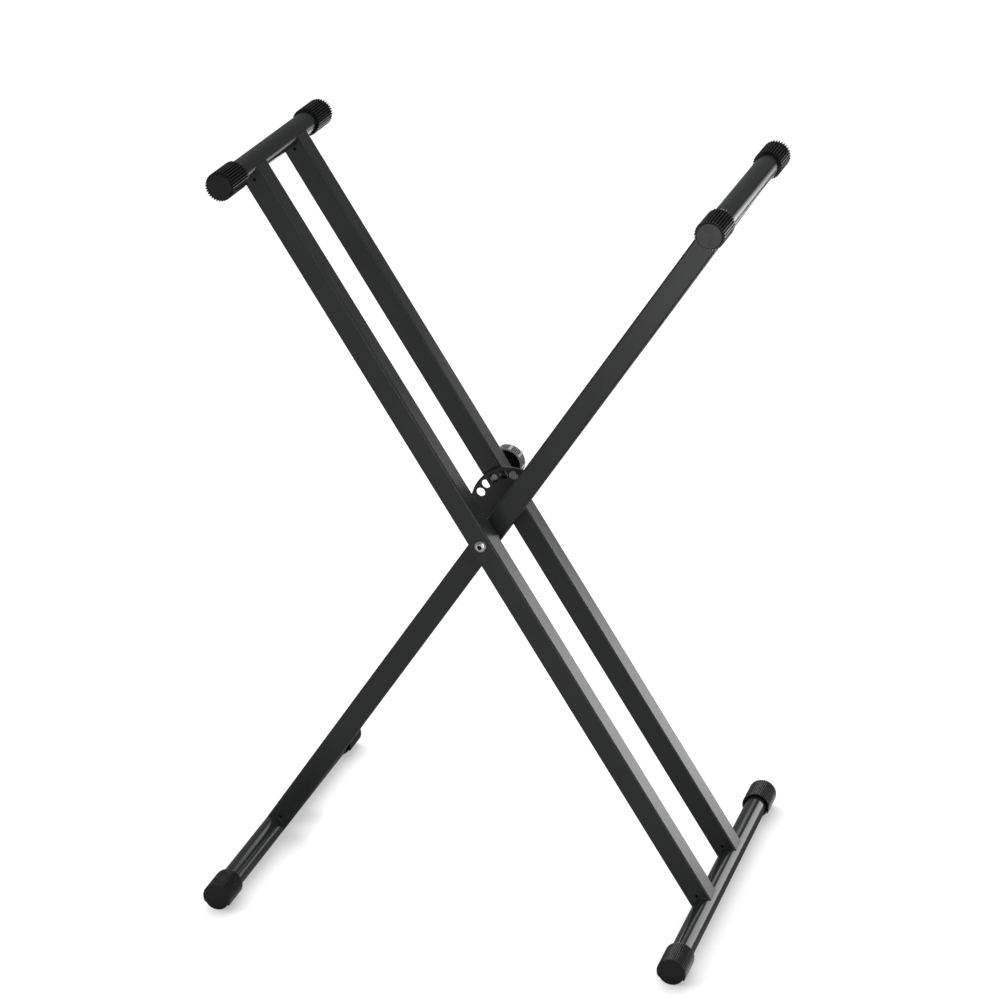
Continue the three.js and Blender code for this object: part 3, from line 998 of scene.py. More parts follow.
@dataclass(frozen=True)
class CrossedFrame:
    """One of the two frames: two legs, a foot bar, a top bar and their welds.

    Attributes:
        brace: Which frame it is.
        layout: Where the pivot and the bars are.
        sleeve_hole: Radius of the hole for the pivot's bolt or sleeve.
        bar_radius: Radius of the bars.
        bar_wall: Their wall.
        bar_edge: Rounding of their ends.
    """

    brace: Brace
    layout: Layout
    sleeve_hole: float
    bar_radius: float = 12.5
    bar_wall: float = 1.5
    bar_edge: float = 0.25

    def build(self, extra_holes: dict[End, Workpiece]) -> None:
        """Builds the legs, bars and welds.

        Args:
            extra_holes: A cutter for what else goes through a leg, about the leg's own middle.
        """
        leg = Leg(self.layout.arm, self.bar_radius + HAIRLINE)
        bead = WeldBead(self.bar_radius, leg.side, leg.tip_trim)
        tube = leg.tube().cut(rod(self.sleeve_hole, -leg.side, leg.side, HOLE_FACETS))
        for end in End:
            node = f"{self.brace.value}_leg_{end.label}"
            work = tube.copy()
            if end in extra_holes:
                work.cut(extra_holes[end])
            place = self.layout.brace(self.brace) @ Matrix.Translation((0, middle(node).y, 0))
            work.replacing(node, LEG_COAT, place)
            self.weld(node, bead, place)
        for level in ("foot", "top"):
            node = f"{self.brace.value}_{level}_bar"
            half = (span(node)[1].y - span(node)[0].y) / 2
            bar = ring(self.bar_radius, self.bar_radius - self.bar_wall, -half, half, BAR_FACETS)
            bar.softened(self.bar_edge)
            bar.replacing(node, BAR_COAT, Matrix.Translation(middle(node)))

    def weld(self, node: str, bead: WeldBead, place: Matrix) -> None:
        """Welds a leg to its two bars.

        Args:
            node: The leg's node.
            bead: The bead round one end.
            place: Matrix of the leg.
        """
        for level, side in (("foot", -1), ("top", 1)):
            turn = Matrix.Rotation(math.pi if side > 0 else 0.0, 4, "Y")
            at_bar = place @ Matrix.Translation((0, 0, side * self.layout.arm)) @ turn
            bead.round_the_leg().placed(f"weld_{node}_{level}", body_of(node), LEG_COAT, at_bar)


# ---- Caps, drawn for the front: closed face at y = 0, mouth further back ---------------------------


@dataclass(frozen=True)
class FootCap:
    """Rubber foot: a ribbed shell above, and a smooth sole that stands on the floor.

    Attributes:
        bore: Radius of the bore for the bar.
        length: Length of the ribbed shell.
        lip: How far the sole runs on past it.
        end_wall: Thickness of the closed end.
        shell_wall: Wall of the ribbed shell.
        groove_depth: Depth of the grooves between the ribs.
        groove_shape: Under 1 the grooves are broader than the ribs.
        grooves: How many grooves there are.
        drop: How far the shell reaches below the bar's sides.
        sole_wall: Wall of the sole.
        flat: Width of the flat that stands on the floor.
        mouth_width: Width of the open groove round the bar at the mouth.
        mouth_depth: Its depth.
        edge: Rounding of the shell's two ends.
        points_per_rib: Points of the outline along one rib and its groove.
        sole_points: Chords along the sole.
    """

    bore: float
    length: float = 38.5
    lip: float = 4.5
    end_wall: float = 4.0
    shell_wall: float = 3.7
    groove_depth: float = 1.2
    groove_shape: float = 0.85
    grooves: int = 31
    drop: float = math.radians(28)
    sole_wall: float = 1.8
    flat: float = 4.0
    mouth_width: float = 2.2
    mouth_depth: float = 4.0
    edge: float = 0.5
    points_per_rib: int = 10
    sole_points: int = 60

    def rib_radius(self, angle: float) -> float:
        """Gives the shell's radius, with round ribs between round grooves.

        Args:
            angle: Angle round the bar.

        Returns:
            The radius there.
        """
        phase = self.grooves * (angle + self.drop) / (math.pi + 2 * self.drop)
        groove = (0.5 - 0.5 * math.cos(TURN * phase)) ** self.groove_shape
        return self.bore + self.shell_wall - self.groove_depth * groove

    def sole(self) -> list[Vector]:
        """Gives the sole's outline, flat at the bottom.

        Returns:
            Its points in the XZ plane.
        """
        radius = self.bore + self.sole_wall
        floor = -math.sqrt(radius**2 - (self.flat / 2) ** 2)
        sweep = math.pi - 2 * self.drop
        points = arc_points(lambda _: radius, math.pi + self.drop, sweep, self.sole_points)
        return [Vector((point.x, 0, max(point.z, floor))) for point in points]

    def shape(self) -> Workpiece:
        """Makes the cap.

        Returns:
            The cap.
        """
        sweep = math.pi + 2 * self.drop
        steps = self.grooves * self.points_per_rib
        shell = arc_points(self.rib_radius, -self.drop, sweep, steps)
        tip = self.length + self.lip
        sole_radius = self.bore + self.sole_wall
        outside = sole_radius + OVERCUT
        mouth_start = self.length - self.mouth_depth
        mouth = rod(self.bore + self.mouth_width, mouth_start, self.length + OVERCUT, CAP_FACETS)
        taper = Workpiece.turned(
            [(self.bore, tip + OVERCUT), (self.bore, tip), (sole_radius, self.length), (outside, self.length),
             (outside, tip + OVERCUT)], CAP_FACETS,
        )
        fan = [Vector((0, 0, -self.bore / 2)), *self.sole()]
        lip = Workpiece.extruded(fan, self.end_wall, tip).cut(taper)
        body = Workpiece.extruded([*shell, *self.sole()], 0, self.length).kept_inside(self.hull())
        return body.cut(mouth).joined(lip).cut(rod(self.bore, self.end_wall, tip + OVERCUT, CAP_FACETS))

    def hull(self) -> Workpiece:
        """Makes the round hull that rounds the shell's two ends.

        Returns:
            The hull.
        """
        wide = self.bore + self.shell_wall
        round_front = rounding(self.edge, (wide - self.edge, self.edge), -UP, UP)
        round_back = rounding(self.edge, (wide - self.edge, self.length - self.edge), 0, UP)
        return Workpiece.turned([(0, 0), *round_front, *round_back, (0, self.length)], BAR_FACETS)


@dataclass(frozen=True)
class TopCap:
    """Rubber rest: teeth all round, behind a smooth end disc.

    Attributes:
        bore: Radius of the bore for the bar.
        length: Length of the cap.
        end_wall: Thickness of the closed end.
        wall: Wall out to the tips of the teeth.
        tooth_depth: Depth of the teeth.
        teeth: How many there are.
        root_share: Width of a tooth's root, as a share of the pitch.
        tip_share: Width of its tip.
        disc_wall: Wall of the end disc.
        disc_proud: How far the disc stands out of the teeth.
        disc_edge: Rounding of the disc's edge.
        tooth_edge: Rounding of the teeth's front ends.
        points_per_tooth: Points of the outline along one tooth.
    """

    bore: float
    length: float = 46.0
    end_wall: float = 4.0
    wall: float = 3.0
    tooth_depth: float = 1.9
    teeth: int = 32
    root_share: float = 0.8
    tip_share: float = 0.32
    disc_wall: float = 0.8
    disc_proud: float = 1.5
    disc_edge: float = 0.8
    tooth_edge: float = 0.15
    points_per_tooth: int = 18

    def tooth_radius(self, angle: float) -> float:
        """Gives the radius at an angle; one tip is exactly on top.

        Args:
            angle: Angle round the bar.

        Returns:
            The radius there.
        """
        phase = self.teeth * (angle - UP) / TURN
        off_tip = abs(phase - round(phase))
        tip, root = self.tip_share / 2, self.root_share / 2
        fall = min(max((off_tip - tip) / (root - tip), 0.0), 1.0)
        return self.bore + self.wall - self.tooth_depth * (0.5 - 0.5 * math.cos(math.pi * fall))

    def shape(self) -> Workpiece:
        """Makes the cap.

        Returns:
            The cap.
        """
        steps = self.teeth * self.points_per_tooth
        outline = arc_points(self.tooth_radius, UP, TURN, steps)[:-1]
        wide, edge = self.bore + self.wall, self.tooth_edge
        front = rounding(edge, (wide - edge, self.disc_proud + edge), -UP, UP)
        rear = [(wide, self.length), (0, self.length)]
        hull = Workpiece.turned([(0, self.disc_proud), *front, *rear], BAR_FACETS)
        rim = self.bore + self.disc_wall
        disc = Workpiece.turned(
            [(0, 0), *rounding(self.disc_edge, (rim - self.disc_edge, self.disc_edge), -UP, UP),
             (rim, self.end_wall), (0, self.end_wall)], BAR_FACETS,
        )
        teeth = Workpiece.extruded(outline, self.disc_proud, self.length).kept_inside(hull)
        return teeth.joined(disc).cut(rod(self.bore, self.end_wall, self.length + OVERCUT, CAP_FACETS))


@dataclass(frozen=True)
class CapSet:
    """The eight rubber caps.

    Attributes:
        foot: The cap on the foot bars.
        top: The cap on the top bars.
    """

    foot: FootCap
    top: TopCap

    def build(self) -> None:
        """Builds one cap of each kind and puts its copies on the bars."""
        for level, shape in (("foot", self.foot.shape()), ("top", self.top.shape())):
            for brace in Brace:
                bar = middle(f"{brace.value}_{level}_bar")
                for end in End:
                    node = f"{brace.value}_{level}_cap_{end.label}"
                    low, high = span(node)
                    face = low.y if end is End.FRONT else high.y
                    turn = Matrix.Rotation(0.0 if end is End.FRONT else math.pi, 4, "Z")
                    place = Matrix.Translation((bar.x, face, bar.z)) @ turn
                    shape.copy().replacing(node, CAP_RUBBER, place)


# ---- Pivots, drawn for the rear, with y counted from the middle of the stand -----------------------


@dataclass(frozen=True)
class Bolt:
    """Button-head bolt along Y.

    Attributes:
        tip: Where its tip is.
        seat: Where its head starts.
        top: Where its head ends.
        head: Radius of the head.
        radius: Radius of the shank.
        socket: Socket across its flats.
        socket_depth: Depth of the socket.
        dimple: Depth of the drill's point below the socket.
        dimple_overlap: How far the drill's point reaches up into the socket.
        thread_pitch: Pitch of the thread.
        thread_length: Length of the thread.
        thread_depth: Depth of the thread, as a share of the pitch.
        thread_run_out: Length of the slope up to the plain shank.
        thread_facets: Facets in one turn of the thread.
        ridge: Half the width of the thread's ridge, as a share of the pitch.
        ridge_sunk: How far the ridge is sunk into the core.
        ridge_low: How far it stops short of the shank's radius.
        crest: How many times narrower the ridge's crest is.
        chamfer: Chamfer of the tip.
        edge: Rounding of the head's edges.
        crown: Where the dome gives way to the flat round the socket.
        dome_steps: Chords along the dome.
        lining_gap: Gap round the dark lining that paints the socket's shade.
        lining_wall: Wall of the lining across the flats, and its drop below the rim.
        lining_floor: Floor of the lining.
    """

    tip: float
    seat: float
    top: float
    head: float
    radius: float = 4.0
    socket: float = 5.0
    socket_depth: float = 2.6
    dimple: float = 0.8
    dimple_overlap: float = 0.05
    thread_pitch: float = 1.25
    thread_length: float = 16.0
    thread_depth: float = 0.55
    thread_run_out: float = 0.5
    thread_facets: int = 28
    ridge: float = 0.44
    ridge_sunk: float = 0.1
    ridge_low: float = 0.05
    crest: float = 5.0
    chamfer: float = 0.4
    edge: float = 0.12
    crown: float = math.radians(60)
    dome_steps: int = 10
    lining_gap: float = 0.02
    lining_wall: float = 0.35
    lining_floor: float = 0.3

    def shape(self) -> Workpiece:
        """Makes the bolt: a turned shank and dome, a hexagon socket and a rolled thread.

        Returns:
            The bolt.
        """
        height = (self.top - self.seat) / math.sin(self.crown)
        angles = [self.crown * step / self.dome_steps for step in range(self.dome_steps + 1)]
        dome = [(self.head * math.cos(angle), self.seat + height * math.sin(angle)) for angle in angles]
        core = self.radius - self.thread_depth * self.thread_pitch
        thread_end = self.tip + self.thread_length
        shank = [
            (0, self.tip), (core - self.chamfer, self.tip), (core, self.tip + self.chamfer),
            (core, thread_end), (self.radius, thread_end + self.thread_run_out), (self.radius, self.seat),
        ]
        work = Workpiece.turned([*shank, *dome, (0, self.top)])
        floor = self.top - self.socket_depth
        lid = floor + self.dimple_overlap
        socket = Workpiece.extruded(hexagon(self.socket), floor, self.top + OVERCUT)
        point = Workpiece.turned([(0, floor - self.dimple), (self.socket / 2, lid), (0, lid)], VENT_FACETS)
        work.cut(socket).cut(point)
        work.softened(self.edge, 2, lambda place: place.y > self.seat - ON_FACE)
        return work.with_parts(self.thread(core, thread_end))

    def lining(self) -> Workpiece:
        """Makes the dark lining of the socket, which paints the shade inside it.

        Returns:
            The lining.
        """
        cups = []
        for gap, start in ((self.lining_gap, self.lining_gap), (self.lining_wall, self.lining_floor)):
            low, high = self.top - self.socket_depth + start, self.top - self.lining_wall + start
            cups.append(Workpiece.extruded(hexagon(self.socket - gap), low, high))
        return cups[0].cut(cups[1])

    def thread(self, core: float, end: float) -> Workpiece:
        """Makes the ridge of the thread by sweeping its section up a helix.

        Args:
            core: Radius of the thread's root.
            end: Where the thread runs out.

        Returns:
            The ridge, closed at both ends.
        """
        half = self.ridge * self.thread_pitch
        start = self.tip + half
        root, crest = core - self.ridge_sunk, self.radius - self.ridge_low
        section = [
            (root, start - half, 0), (crest, start - half / self.crest, 0),
            (crest, start + half / self.crest, 0), (root, start + half, 0),
        ]
        turns = (end - self.tip) / self.thread_pitch - 1
        rise = (0, turns * self.thread_pitch, 0)
        return Workpiece.swept(section, rise, turns * TURN, round(turns * self.thread_facets)).cleaned()


@dataclass(frozen=True)
class LockNut:
    """Hexagon lock nut with a nylon ring, drawn with its collar towards the middle of the stand.

    Attributes:
        near: End of the collar.
        hexagon: Where the hexagon starts.
        far: Face on the washer.
        bore: Radius of the bore.
        wall: Bore to flats.
        collar_wall: Bore to collar.
        collar_edge: Rounding of the collar.
        overlap: How far the collar reaches into the hexagon.
        chamfer: Slope of the chamfer on the hexagon's corners.
    """

    near: float
    hexagon: float
    far: float
    bore: float = BOLT_BORE
    wall: float = 2.2
    collar_wall: float = 1.3
    collar_edge: float = 0.6
    overlap: float = 0.5
    chamfer: float = math.radians(30)

    def shape(self) -> Workpiece:
        """Makes the nut: a hexagon chamfered by a cone at both ends, and its round collar.

        Returns:
            The nut.
        """
        flat = self.bore + self.wall
        corner = 2 * flat / math.sqrt(3)
        slope = (corner - self.bore - self.wall) * math.tan(self.chamfer)
        cone = Workpiece.turned(
            [(0, self.hexagon), (flat, self.hexagon), (corner, self.hexagon + slope),
             (corner, self.far - slope), (flat, self.far), (0, self.far)], CAP_FACETS,
        )
        collar, edge, inside = self.bore + self.collar_wall, self.collar_edge, self.hexagon + self.overlap
        crown = rounding(edge, (collar - edge, self.near + edge), -UP, UP)
        dome = Workpiece.turned([(0, self.near), *crown, (collar, inside), (0, inside)])
        work = Workpiece.extruded(hexagon(2 * flat), self.hexagon, self.far).kept_inside(cone).joined(dome)
        return work.cut(rod(self.bore, self.near - OVERCUT, self.far + OVERCUT))


@dataclass(frozen=True)
class PivotSet:
    """What is on the two pivot bolts.

    Attributes:
        layout: Where the pivot is.
        bore: Radius of the bore for a bolt.
        nut_collar: Height of a nut's collar.
    """

    layout: Layout
    bore: float = BOLT_BORE
    nut_collar: float = 1.5

    def build(self) -> None:
        """Builds both pivots."""
        for end in End:
            self.build_end(end)

    def build_end(self, end: End) -> None:
        """Builds one pivot.

        Args:
            end: Which end of the stand it is at.
        """
        turn = Matrix.Rotation(0.0 if end is End.REAR else math.pi, 4, "Z")
        place = Matrix.Translation((0, 0, self.layout.pivot_height)) @ turn
        node = f"pivot_bolt_{end.label}"
        tip, top = self.depths(node)
        seat = self.depths(f"outer_leg_{end.label}")[1] + HAIRLINE
        low, high = span(node)
        bolt = Bolt(tip, seat, top, head=(high.z - low.z) / 2)
        bolt.shape().replacing(node, ZINC, place)
        # Painted shade: a dark lining inside the bolt's socket.
        bolt.lining().placed(f"socket_lining_{end.label}", body_of(node), SOCKET_PAINTED_SHADE, place)
        near, far = self.depths(f"pivot_nut_{end.label}")
        LockNut(near, near + self.nut_collar, far).shape().replacing(f"pivot_nut_{end.label}", ZINC, place)
        for kind, finish, edge in (
            ("pivot_washer", ZINC, 0.25),
            ("pivot_spacer", NYLON, 0.4),
            ("outer_crush_sleeve", ZINC, 0.15),
            ("inner_bearing_sleeve", ZINC, 0.15),
        ):
            node = f"{kind}_{end.label}"
            near, far = self.depths(node)
            outer = (span(node)[1].x - span(node)[0].x) / 2
            ring(outer, self.bore, near, far).softened(edge).replacing(node, finish, place)

    @staticmethod
    def depths(node: str) -> tuple[float, float]:
        """Gives how far from the middle of the stand a node starts and ends."""
        low, high = span(node)
        return tuple(sorted((abs(low.y), abs(high.y))))


# ---- Lock: plate, housing, pin, spring and knob ----------------------------------------------------


@dataclass(frozen=True)
class LockPlate:
    """Round-headed plate with the ring of holes that sets the spread.

    Attributes:
        near: Face on the leg.
        far: Rear face.
        edge: Where its straight edge is, along the leg's edge.
        chord_drop: Straight lower edge, below the pivot along the leg.
        circle: Radius of the ring of holes.
        rim: How far the plate reaches beyond the ring.
        hole: Radius of a hole.
        pivot_hole: Radius of the hole for the pivot bolt.
        spreads: Spread that each hole locks, in degrees.
        rounding: Rounding of the plate's outer edges.
        burr: Chamfer at the holes.
        bead: Radius of the weld beads along the leg.
        outline_steps: Chords along the plate's round edge.
    """

    near: float
    far: float
    edge: float = 12.2
    chord_drop: float = 30.0
    circle: float = 39.0
    rim: float = 9.0
    hole: float = 5.25
    pivot_hole: float = BOLT_BORE
    spreads: tuple[float, ...] = (102, 84, 66, 48, 30, 6)
    rounding: float = 0.5
    burr: float = 0.35
    bead: float = 0.7
    outline_steps: int = 96

    def drill(self, radius: float) -> Workpiece:
        """Makes a drill that also breaks both edges of its hole.

        Args:
            radius: Radius of the hole.

        Returns:
            The cutter.
        """
        flare = radius + self.burr
        return Workpiece.turned(
            [(0, self.near - OVERCUT), (flare + OVERCUT, self.near - OVERCUT), (flare, self.near),
             (radius, self.near + self.burr), (radius, self.far - self.burr), (flare, self.far),
             (flare + OVERCUT, self.far + OVERCUT), (0, self.far + OVERCUT)], HOLE_FACETS,
        )

    def hole_places(self) -> list[Vector]:
        """Gives the middle of each hole, in the inner frame's own plane."""
        return [polar(self.circle, UP + math.radians(spread)) for spread in self.spreads]

    def shape(self) -> Workpiece:
        """Makes the plate.

        Returns:
            The plate, in the inner frame's own plane.
        """
        radius = self.circle + self.rim
        start = math.acos(self.edge / radius)
        sweep = math.pi + math.asin(self.chord_drop / radius) - start
        outline = arc_points(lambda _: radius, start, sweep, self.outline_steps)
        outline.append(Vector((self.edge, 0, -self.chord_drop)))
        work = Workpiece.extruded(outline, self.near, self.far).softened(self.rounding, segments=3)
        holes = [self.drill(self.hole).moved(Matrix.Translation(place)) for place in self.hole_places()]
        return work.cut(self.drill(self.pivot_hole), *holes)

    def welds(self, leg_side: float) -> Workpiece:
        """Makes the beads along both edges of the leg that the plate is welded to.

        Args:
            leg_side: Side of the leg.

        Returns:
            The beads, in the inner frame's own plane.
        """
        bead = WeldBead(bar_radius=0.0, side=leg_side, tip_trim=0.0, radius=self.bead)
        rise = self.circle + self.chord_drop
        axes = (Vector((1, 0, 0)), Vector((0, 1, 0)))
        work = Workpiece()
        for side in (-1, 1):
            edge = side * (leg_side / 2 - self.bead)
            start = Vector((edge, self.near - self.bead / 2, 2 * self.bead - self.chord_drop))
            work.with_parts(bead.sweep(start, axes, rise, shift=Vector((0, 0, rise))))
        return work


@dataclass(frozen=True)
class Knob:
    """Pull knob: a cup open to the front, with bands of grip grooves and a hub.

    Attributes:
        rim: Where its open rim is.
        back: Where its back is.
        hub_start: Where the hub starts.
        pin_end: Where the bore ends.
        radius: Outer radius.
        wall: Wall of the cup.
        hollow: Depth of the hollow.
        hub: Radius of the hub.
        bore: Radius of the hub's bore.
        bands: How many bands of grooves there are.
        grooves: Grooves in one band.
        groove_depth: Their depth.
        groove_shape: Under 1 the grooves are broader than the ribs.
        land: Width of the smooth land between two bands, in grooves.
        front_edge: Rounding of the open rim.
        back_edge: Rounding of the back.
        curve: Rounding where the cup's wall meets the hollow's floor.
        hub_edge: Chamfer where the hub meets that floor.
        lining_gap: Gap under the black lining that paints the hollow's shade.
        lining_wall: Thickness of the lining.
        lining_edge: Chamfer of the lining round the hub.
        points_per_groove: Points of the outline along one groove.
    """

    rim: float
    back: float
    hub_start: float
    pin_end: float
    radius: float = 20.0
    wall: float = 2.0
    hollow: float = 10.0
    hub: float = 7.0
    bore: float = 3.3
    bands: int = 9
    grooves: int = 5
    groove_depth: float = 1.4
    groove_shape: float = 0.7
    land: float = 1.5
    front_edge: float = 0.6
    back_edge: float = 2.4
    curve: float = 1.2
    hub_edge: float = 0.8
    lining_gap: float = 0.03
    lining_wall: float = 0.45
    lining_edge: float = 1.0
    points_per_groove: int = 8

    def grip_radius(self, angle: float) -> float:
        """Gives the radius at an angle: round grooves in bands, with lands between them.

        Args:
            angle: Angle round the knob.

        Returns:
            The radius there.
        """
        phase = (self.bands * angle / TURN) % 1 * (self.grooves + self.land)
        if phase > self.grooves:
            return self.radius
        return self.radius - self.groove_depth * (0.5 - 0.5 * math.cos(TURN * phase)) ** self.groove_shape

    def shape(self) -> Workpiece:
        """Makes the knob.

        Returns:
            The knob.
        """
        steps = round(self.bands * (self.grooves + self.land) * self.points_per_groove)
        outline = arc_points(self.grip_radius, 0, TURN, steps)[:-1]
        edge, back_edge = self.front_edge, self.back_edge
        front = rounding(edge, (self.radius - edge, self.rim + edge), -UP, UP)
        back = rounding(back_edge, (self.radius - back_edge, self.back - back_edge), 0, UP, steps=8)
        hull = Workpiece.turned([(0, self.rim), *front, *back, (0, self.back)], BAR_FACETS)
        cup, floor = self.radius - self.wall, self.rim + self.hollow
        corner = (cup - self.curve, floor - self.curve)
        hollow = Workpiece.turned(
            [(self.hub, self.rim - OVERCUT), (cup, self.rim - OVERCUT), (cup, floor - self.curve),
             *rounding(self.curve, corner, 0, UP)[1:], (self.hub + self.hub_edge, floor),
             (self.hub, floor - self.hub_edge)], CAP_FACETS,
        )
        work = Workpiece.extruded(outline, self.rim, self.back).kept_inside(hull).cut(hollow)
        work.cut(rod(self.hub + OVERCUT / 2, self.rim - OVERCUT, self.hub_start))
        return work.cut(rod(self.bore, self.rim, self.pin_end + HAIRLINE, HOLE_FACETS))

    def core(self) -> Workpiece:
        """Makes the black lining that paints the hollow's shade, over the hub and up the cup's wall.

        Returns:
            The lining.
        """
        gap, wall, curve = self.lining_gap, self.lining_wall, self.curve
        cup, floor = self.radius - self.wall, self.rim + self.hollow
        corner = (cup - curve, floor - curve)
        top, hub_front = self.rim + self.front_edge + gap, self.hub_start - wall
        on_hub, bore = self.hub + gap, self.bore + wall
        return Workpiece.turned(
            [(cup - gap, top), *rounding(curve - gap, corner, 0, UP),
             (self.hub + self.hub_edge, floor - gap), (on_hub, floor - self.hub_edge),
             (on_hub, self.hub_start - gap), (bore, self.hub_start - gap), (bore, hub_front),
             (on_hub, hub_front), (self.hub + wall, hub_front + wall),
             (self.hub + wall, floor - self.lining_edge), (self.hub + self.lining_edge, floor - wall),
             *rounding(curve - wall, corner, UP, -UP), (cup - wall, top)], CAP_FACETS,
        )


@dataclass(frozen=True)
class Lock:
    """The lock in the rear outer leg, and the plate that it locks to.

    Attributes:
        layout: Where the pivot is.
        pin: Radius of the pin.
        collar: Radius of its collar.
        tail: Radius of its tail.
        housing: Outer radius of the housing.
        chamber: Radius of the spring's chamber.
        nose: Length of the guide bore ahead of the spring.
        collar_thickness: Thickness of the pin's collar.
        wire: Diameter of the spring's wire.
        wire_facets: Facets round the wire.
        coils: Turns of the spring.
        coil_facets: Facets in one turn.
        leg_side: Side of the leg that the plate is welded to.
        knob_to_hub: How far behind the knob's rim its hub starts.
        tip_edge: Rounding of the pin's tip.
        housing_edge: Rounding of the housing's edges.
        plug_edge: Rounding of the plug's edges.
    """

    layout: Layout
    pin: float = 4.0
    collar: float = 6.0
    tail: float = 3.0
    housing: float = 8.5
    chamber: float = 6.8
    nose: float = 5.0
    collar_thickness: float = 2.0
    wire: float = 1.1
    wire_facets: int = 12
    coils: int = 7
    coil_facets: int = 36
    leg_side: float = 25.0
    knob_to_hub: float = 4.1
    tip_edge: float = 0.6
    housing_edge: float = 0.35
    plug_edge: float = 0.3

    def housing_hole(self) -> Workpiece:
        """Makes the cutter for the housing's hole in the leg, about the leg's own middle.

        Returns:
            The cutter.
        """
        circle = middle("lock_pin")
        radius = math.hypot(circle.x, circle.z - self.layout.pivot_height)
        cutter = rod(self.housing + HAIRLINE, -2 * self.housing, 2 * self.housing, HOLE_FACETS)
        return cutter.moved(Matrix.Translation((0, 0, radius)))

    def storage_hole(self, plate: LockPlate) -> Workpiece:
        """Makes the cutter for the pin's hole in the inner leg when the stand is folded flat."""
        place = plate.hole_places()[-1]
        return rod(plate.hole, 0, 4 * plate.hole, HOLE_FACETS).moved(Matrix.Translation(place))

    def build(self, plate: LockPlate) -> None:
        """Builds the plate and the lock.

        Args:
            plate: The plate with the holes.
        """
        on_inner = self.layout.brace(Brace.INNER)
        plate.shape().replacing("lock_plate", PLATE_COAT, on_inner)
        plate.welds(self.leg_side).placed("weld_lock_plate", body_of("lock_plate"), PLATE_COAT, on_inner)
        at_pin = middle("lock_pin")
        place = Matrix.Translation((at_pin.x, 0, at_pin.z))
        start, end = (corner.y for corner in span("lock_housing"))
        plug_start = span("lock_plug")[0].y
        guide = self.pin + HAIRLINE
        housing = Workpiece.turned(
            [(guide, start), (self.housing, start), (self.housing, end), (self.chamber, end),
             (self.chamber, start + self.nose), (guide, start + self.nose)], CAP_FACETS,
        )
        housing.softened(self.housing_edge).replacing("lock_housing", PIN_STEEL, place)
        plug = ring(self.chamber - HAIRLINE, self.tail + HAIRLINE, plug_start, end)
        plug.softened(self.plug_edge).replacing("lock_plug", PIN_STEEL, place)
        self.build_pin(place, plug_start)

    def build_pin(self, place: Matrix, plug_start: float) -> None:
        """Builds the pin, its spring and its knob.

        Args:
            place: Matrix of the pin's axis.
            plug_start: Where the spring's rear seat is.
        """
        tip, end = (corner.y for corner in span("lock_pin"))
        spring_low, spring_high = (corner.y for corner in span("lock_spring"))
        collar_end = spring_low - HAIRLINE
        collar_start = collar_end - self.collar_thickness
        pin = Workpiece.turned(
            [(0, tip), (self.pin, tip), (self.pin, collar_start), (self.collar, collar_start),
             (self.collar, collar_end), (self.tail, collar_end), (self.tail, end), (0, end)],
        )
        pin.softened(self.tip_edge, 3, lambda point: point.y < tip + ON_FACE)
        pin.replacing("lock_pin", PIN_STEEL, place)
        self.spring(spring_low, spring_high).replacing("lock_spring", SPRING_STEEL, place)
        rim, back = (corner.y for corner in span("lock_knob"))
        knob = Knob(rim, back, rim + self.knob_to_hub, end)
        # The knob's grey is painted sheen; the black lining inside its hollow is painted shade.
        knob.shape().replacing("lock_knob", PAINTED_LIGHT_KNOB_PLASTIC, place)
        knob.core().placed("knob_core", body_of("lock_knob"), KNOB_SHADE_LINING, place)

    def spring(self, low: float, high: float) -> Workpiece:
        """Makes the spring by sweeping its wire's section up a helix.

        Args:
            low: Where the spring starts.
            high: Where it ends.

        Returns:
            The spring, closed at both ends.
        """
        coil, wire = (self.tail + self.chamber) / 2, self.wire / 2
        turns = [TURN * facet / self.wire_facets for facet in range(self.wire_facets)]
        section = [(coil + wire * math.cos(turn), low + wire + wire * math.sin(turn), 0) for turn in turns]
        rise = (0, high - low - self.wire, 0)
        return Workpiece.swept(section, rise, self.coils * TURN, self.coils * self.coil_facets).cleaned()


# ---- Studio ----------------------------------------------------------------------------------------


def bare_material(name: str) -> bpy.types.Material:
    """Makes a material with an empty node tree.

    Args:
        name: The material's name.

    Returns:
        The material.
    """
    material = bpy.data.materials.new(name)
    material.use_nodes = True
    material.node_tree.nodes.clear()
    return material


def staged(name: str, bm: BMesh, material: bpy.types.Material) -> bpy.types.Object:
    """Makes a piece of the studio, which isn't part of the stand.

    Args:
        name: Its name.
        bm: Its mesh, which is freed.
        material: Its material.

    Returns:
        The object.
    """
    mesh = bpy.data.meshes.new(name)
    bm.to_mesh(mesh)
    bm.free()
    mesh.materials.append(material)
    piece = shown(name, mesh)
    return piece


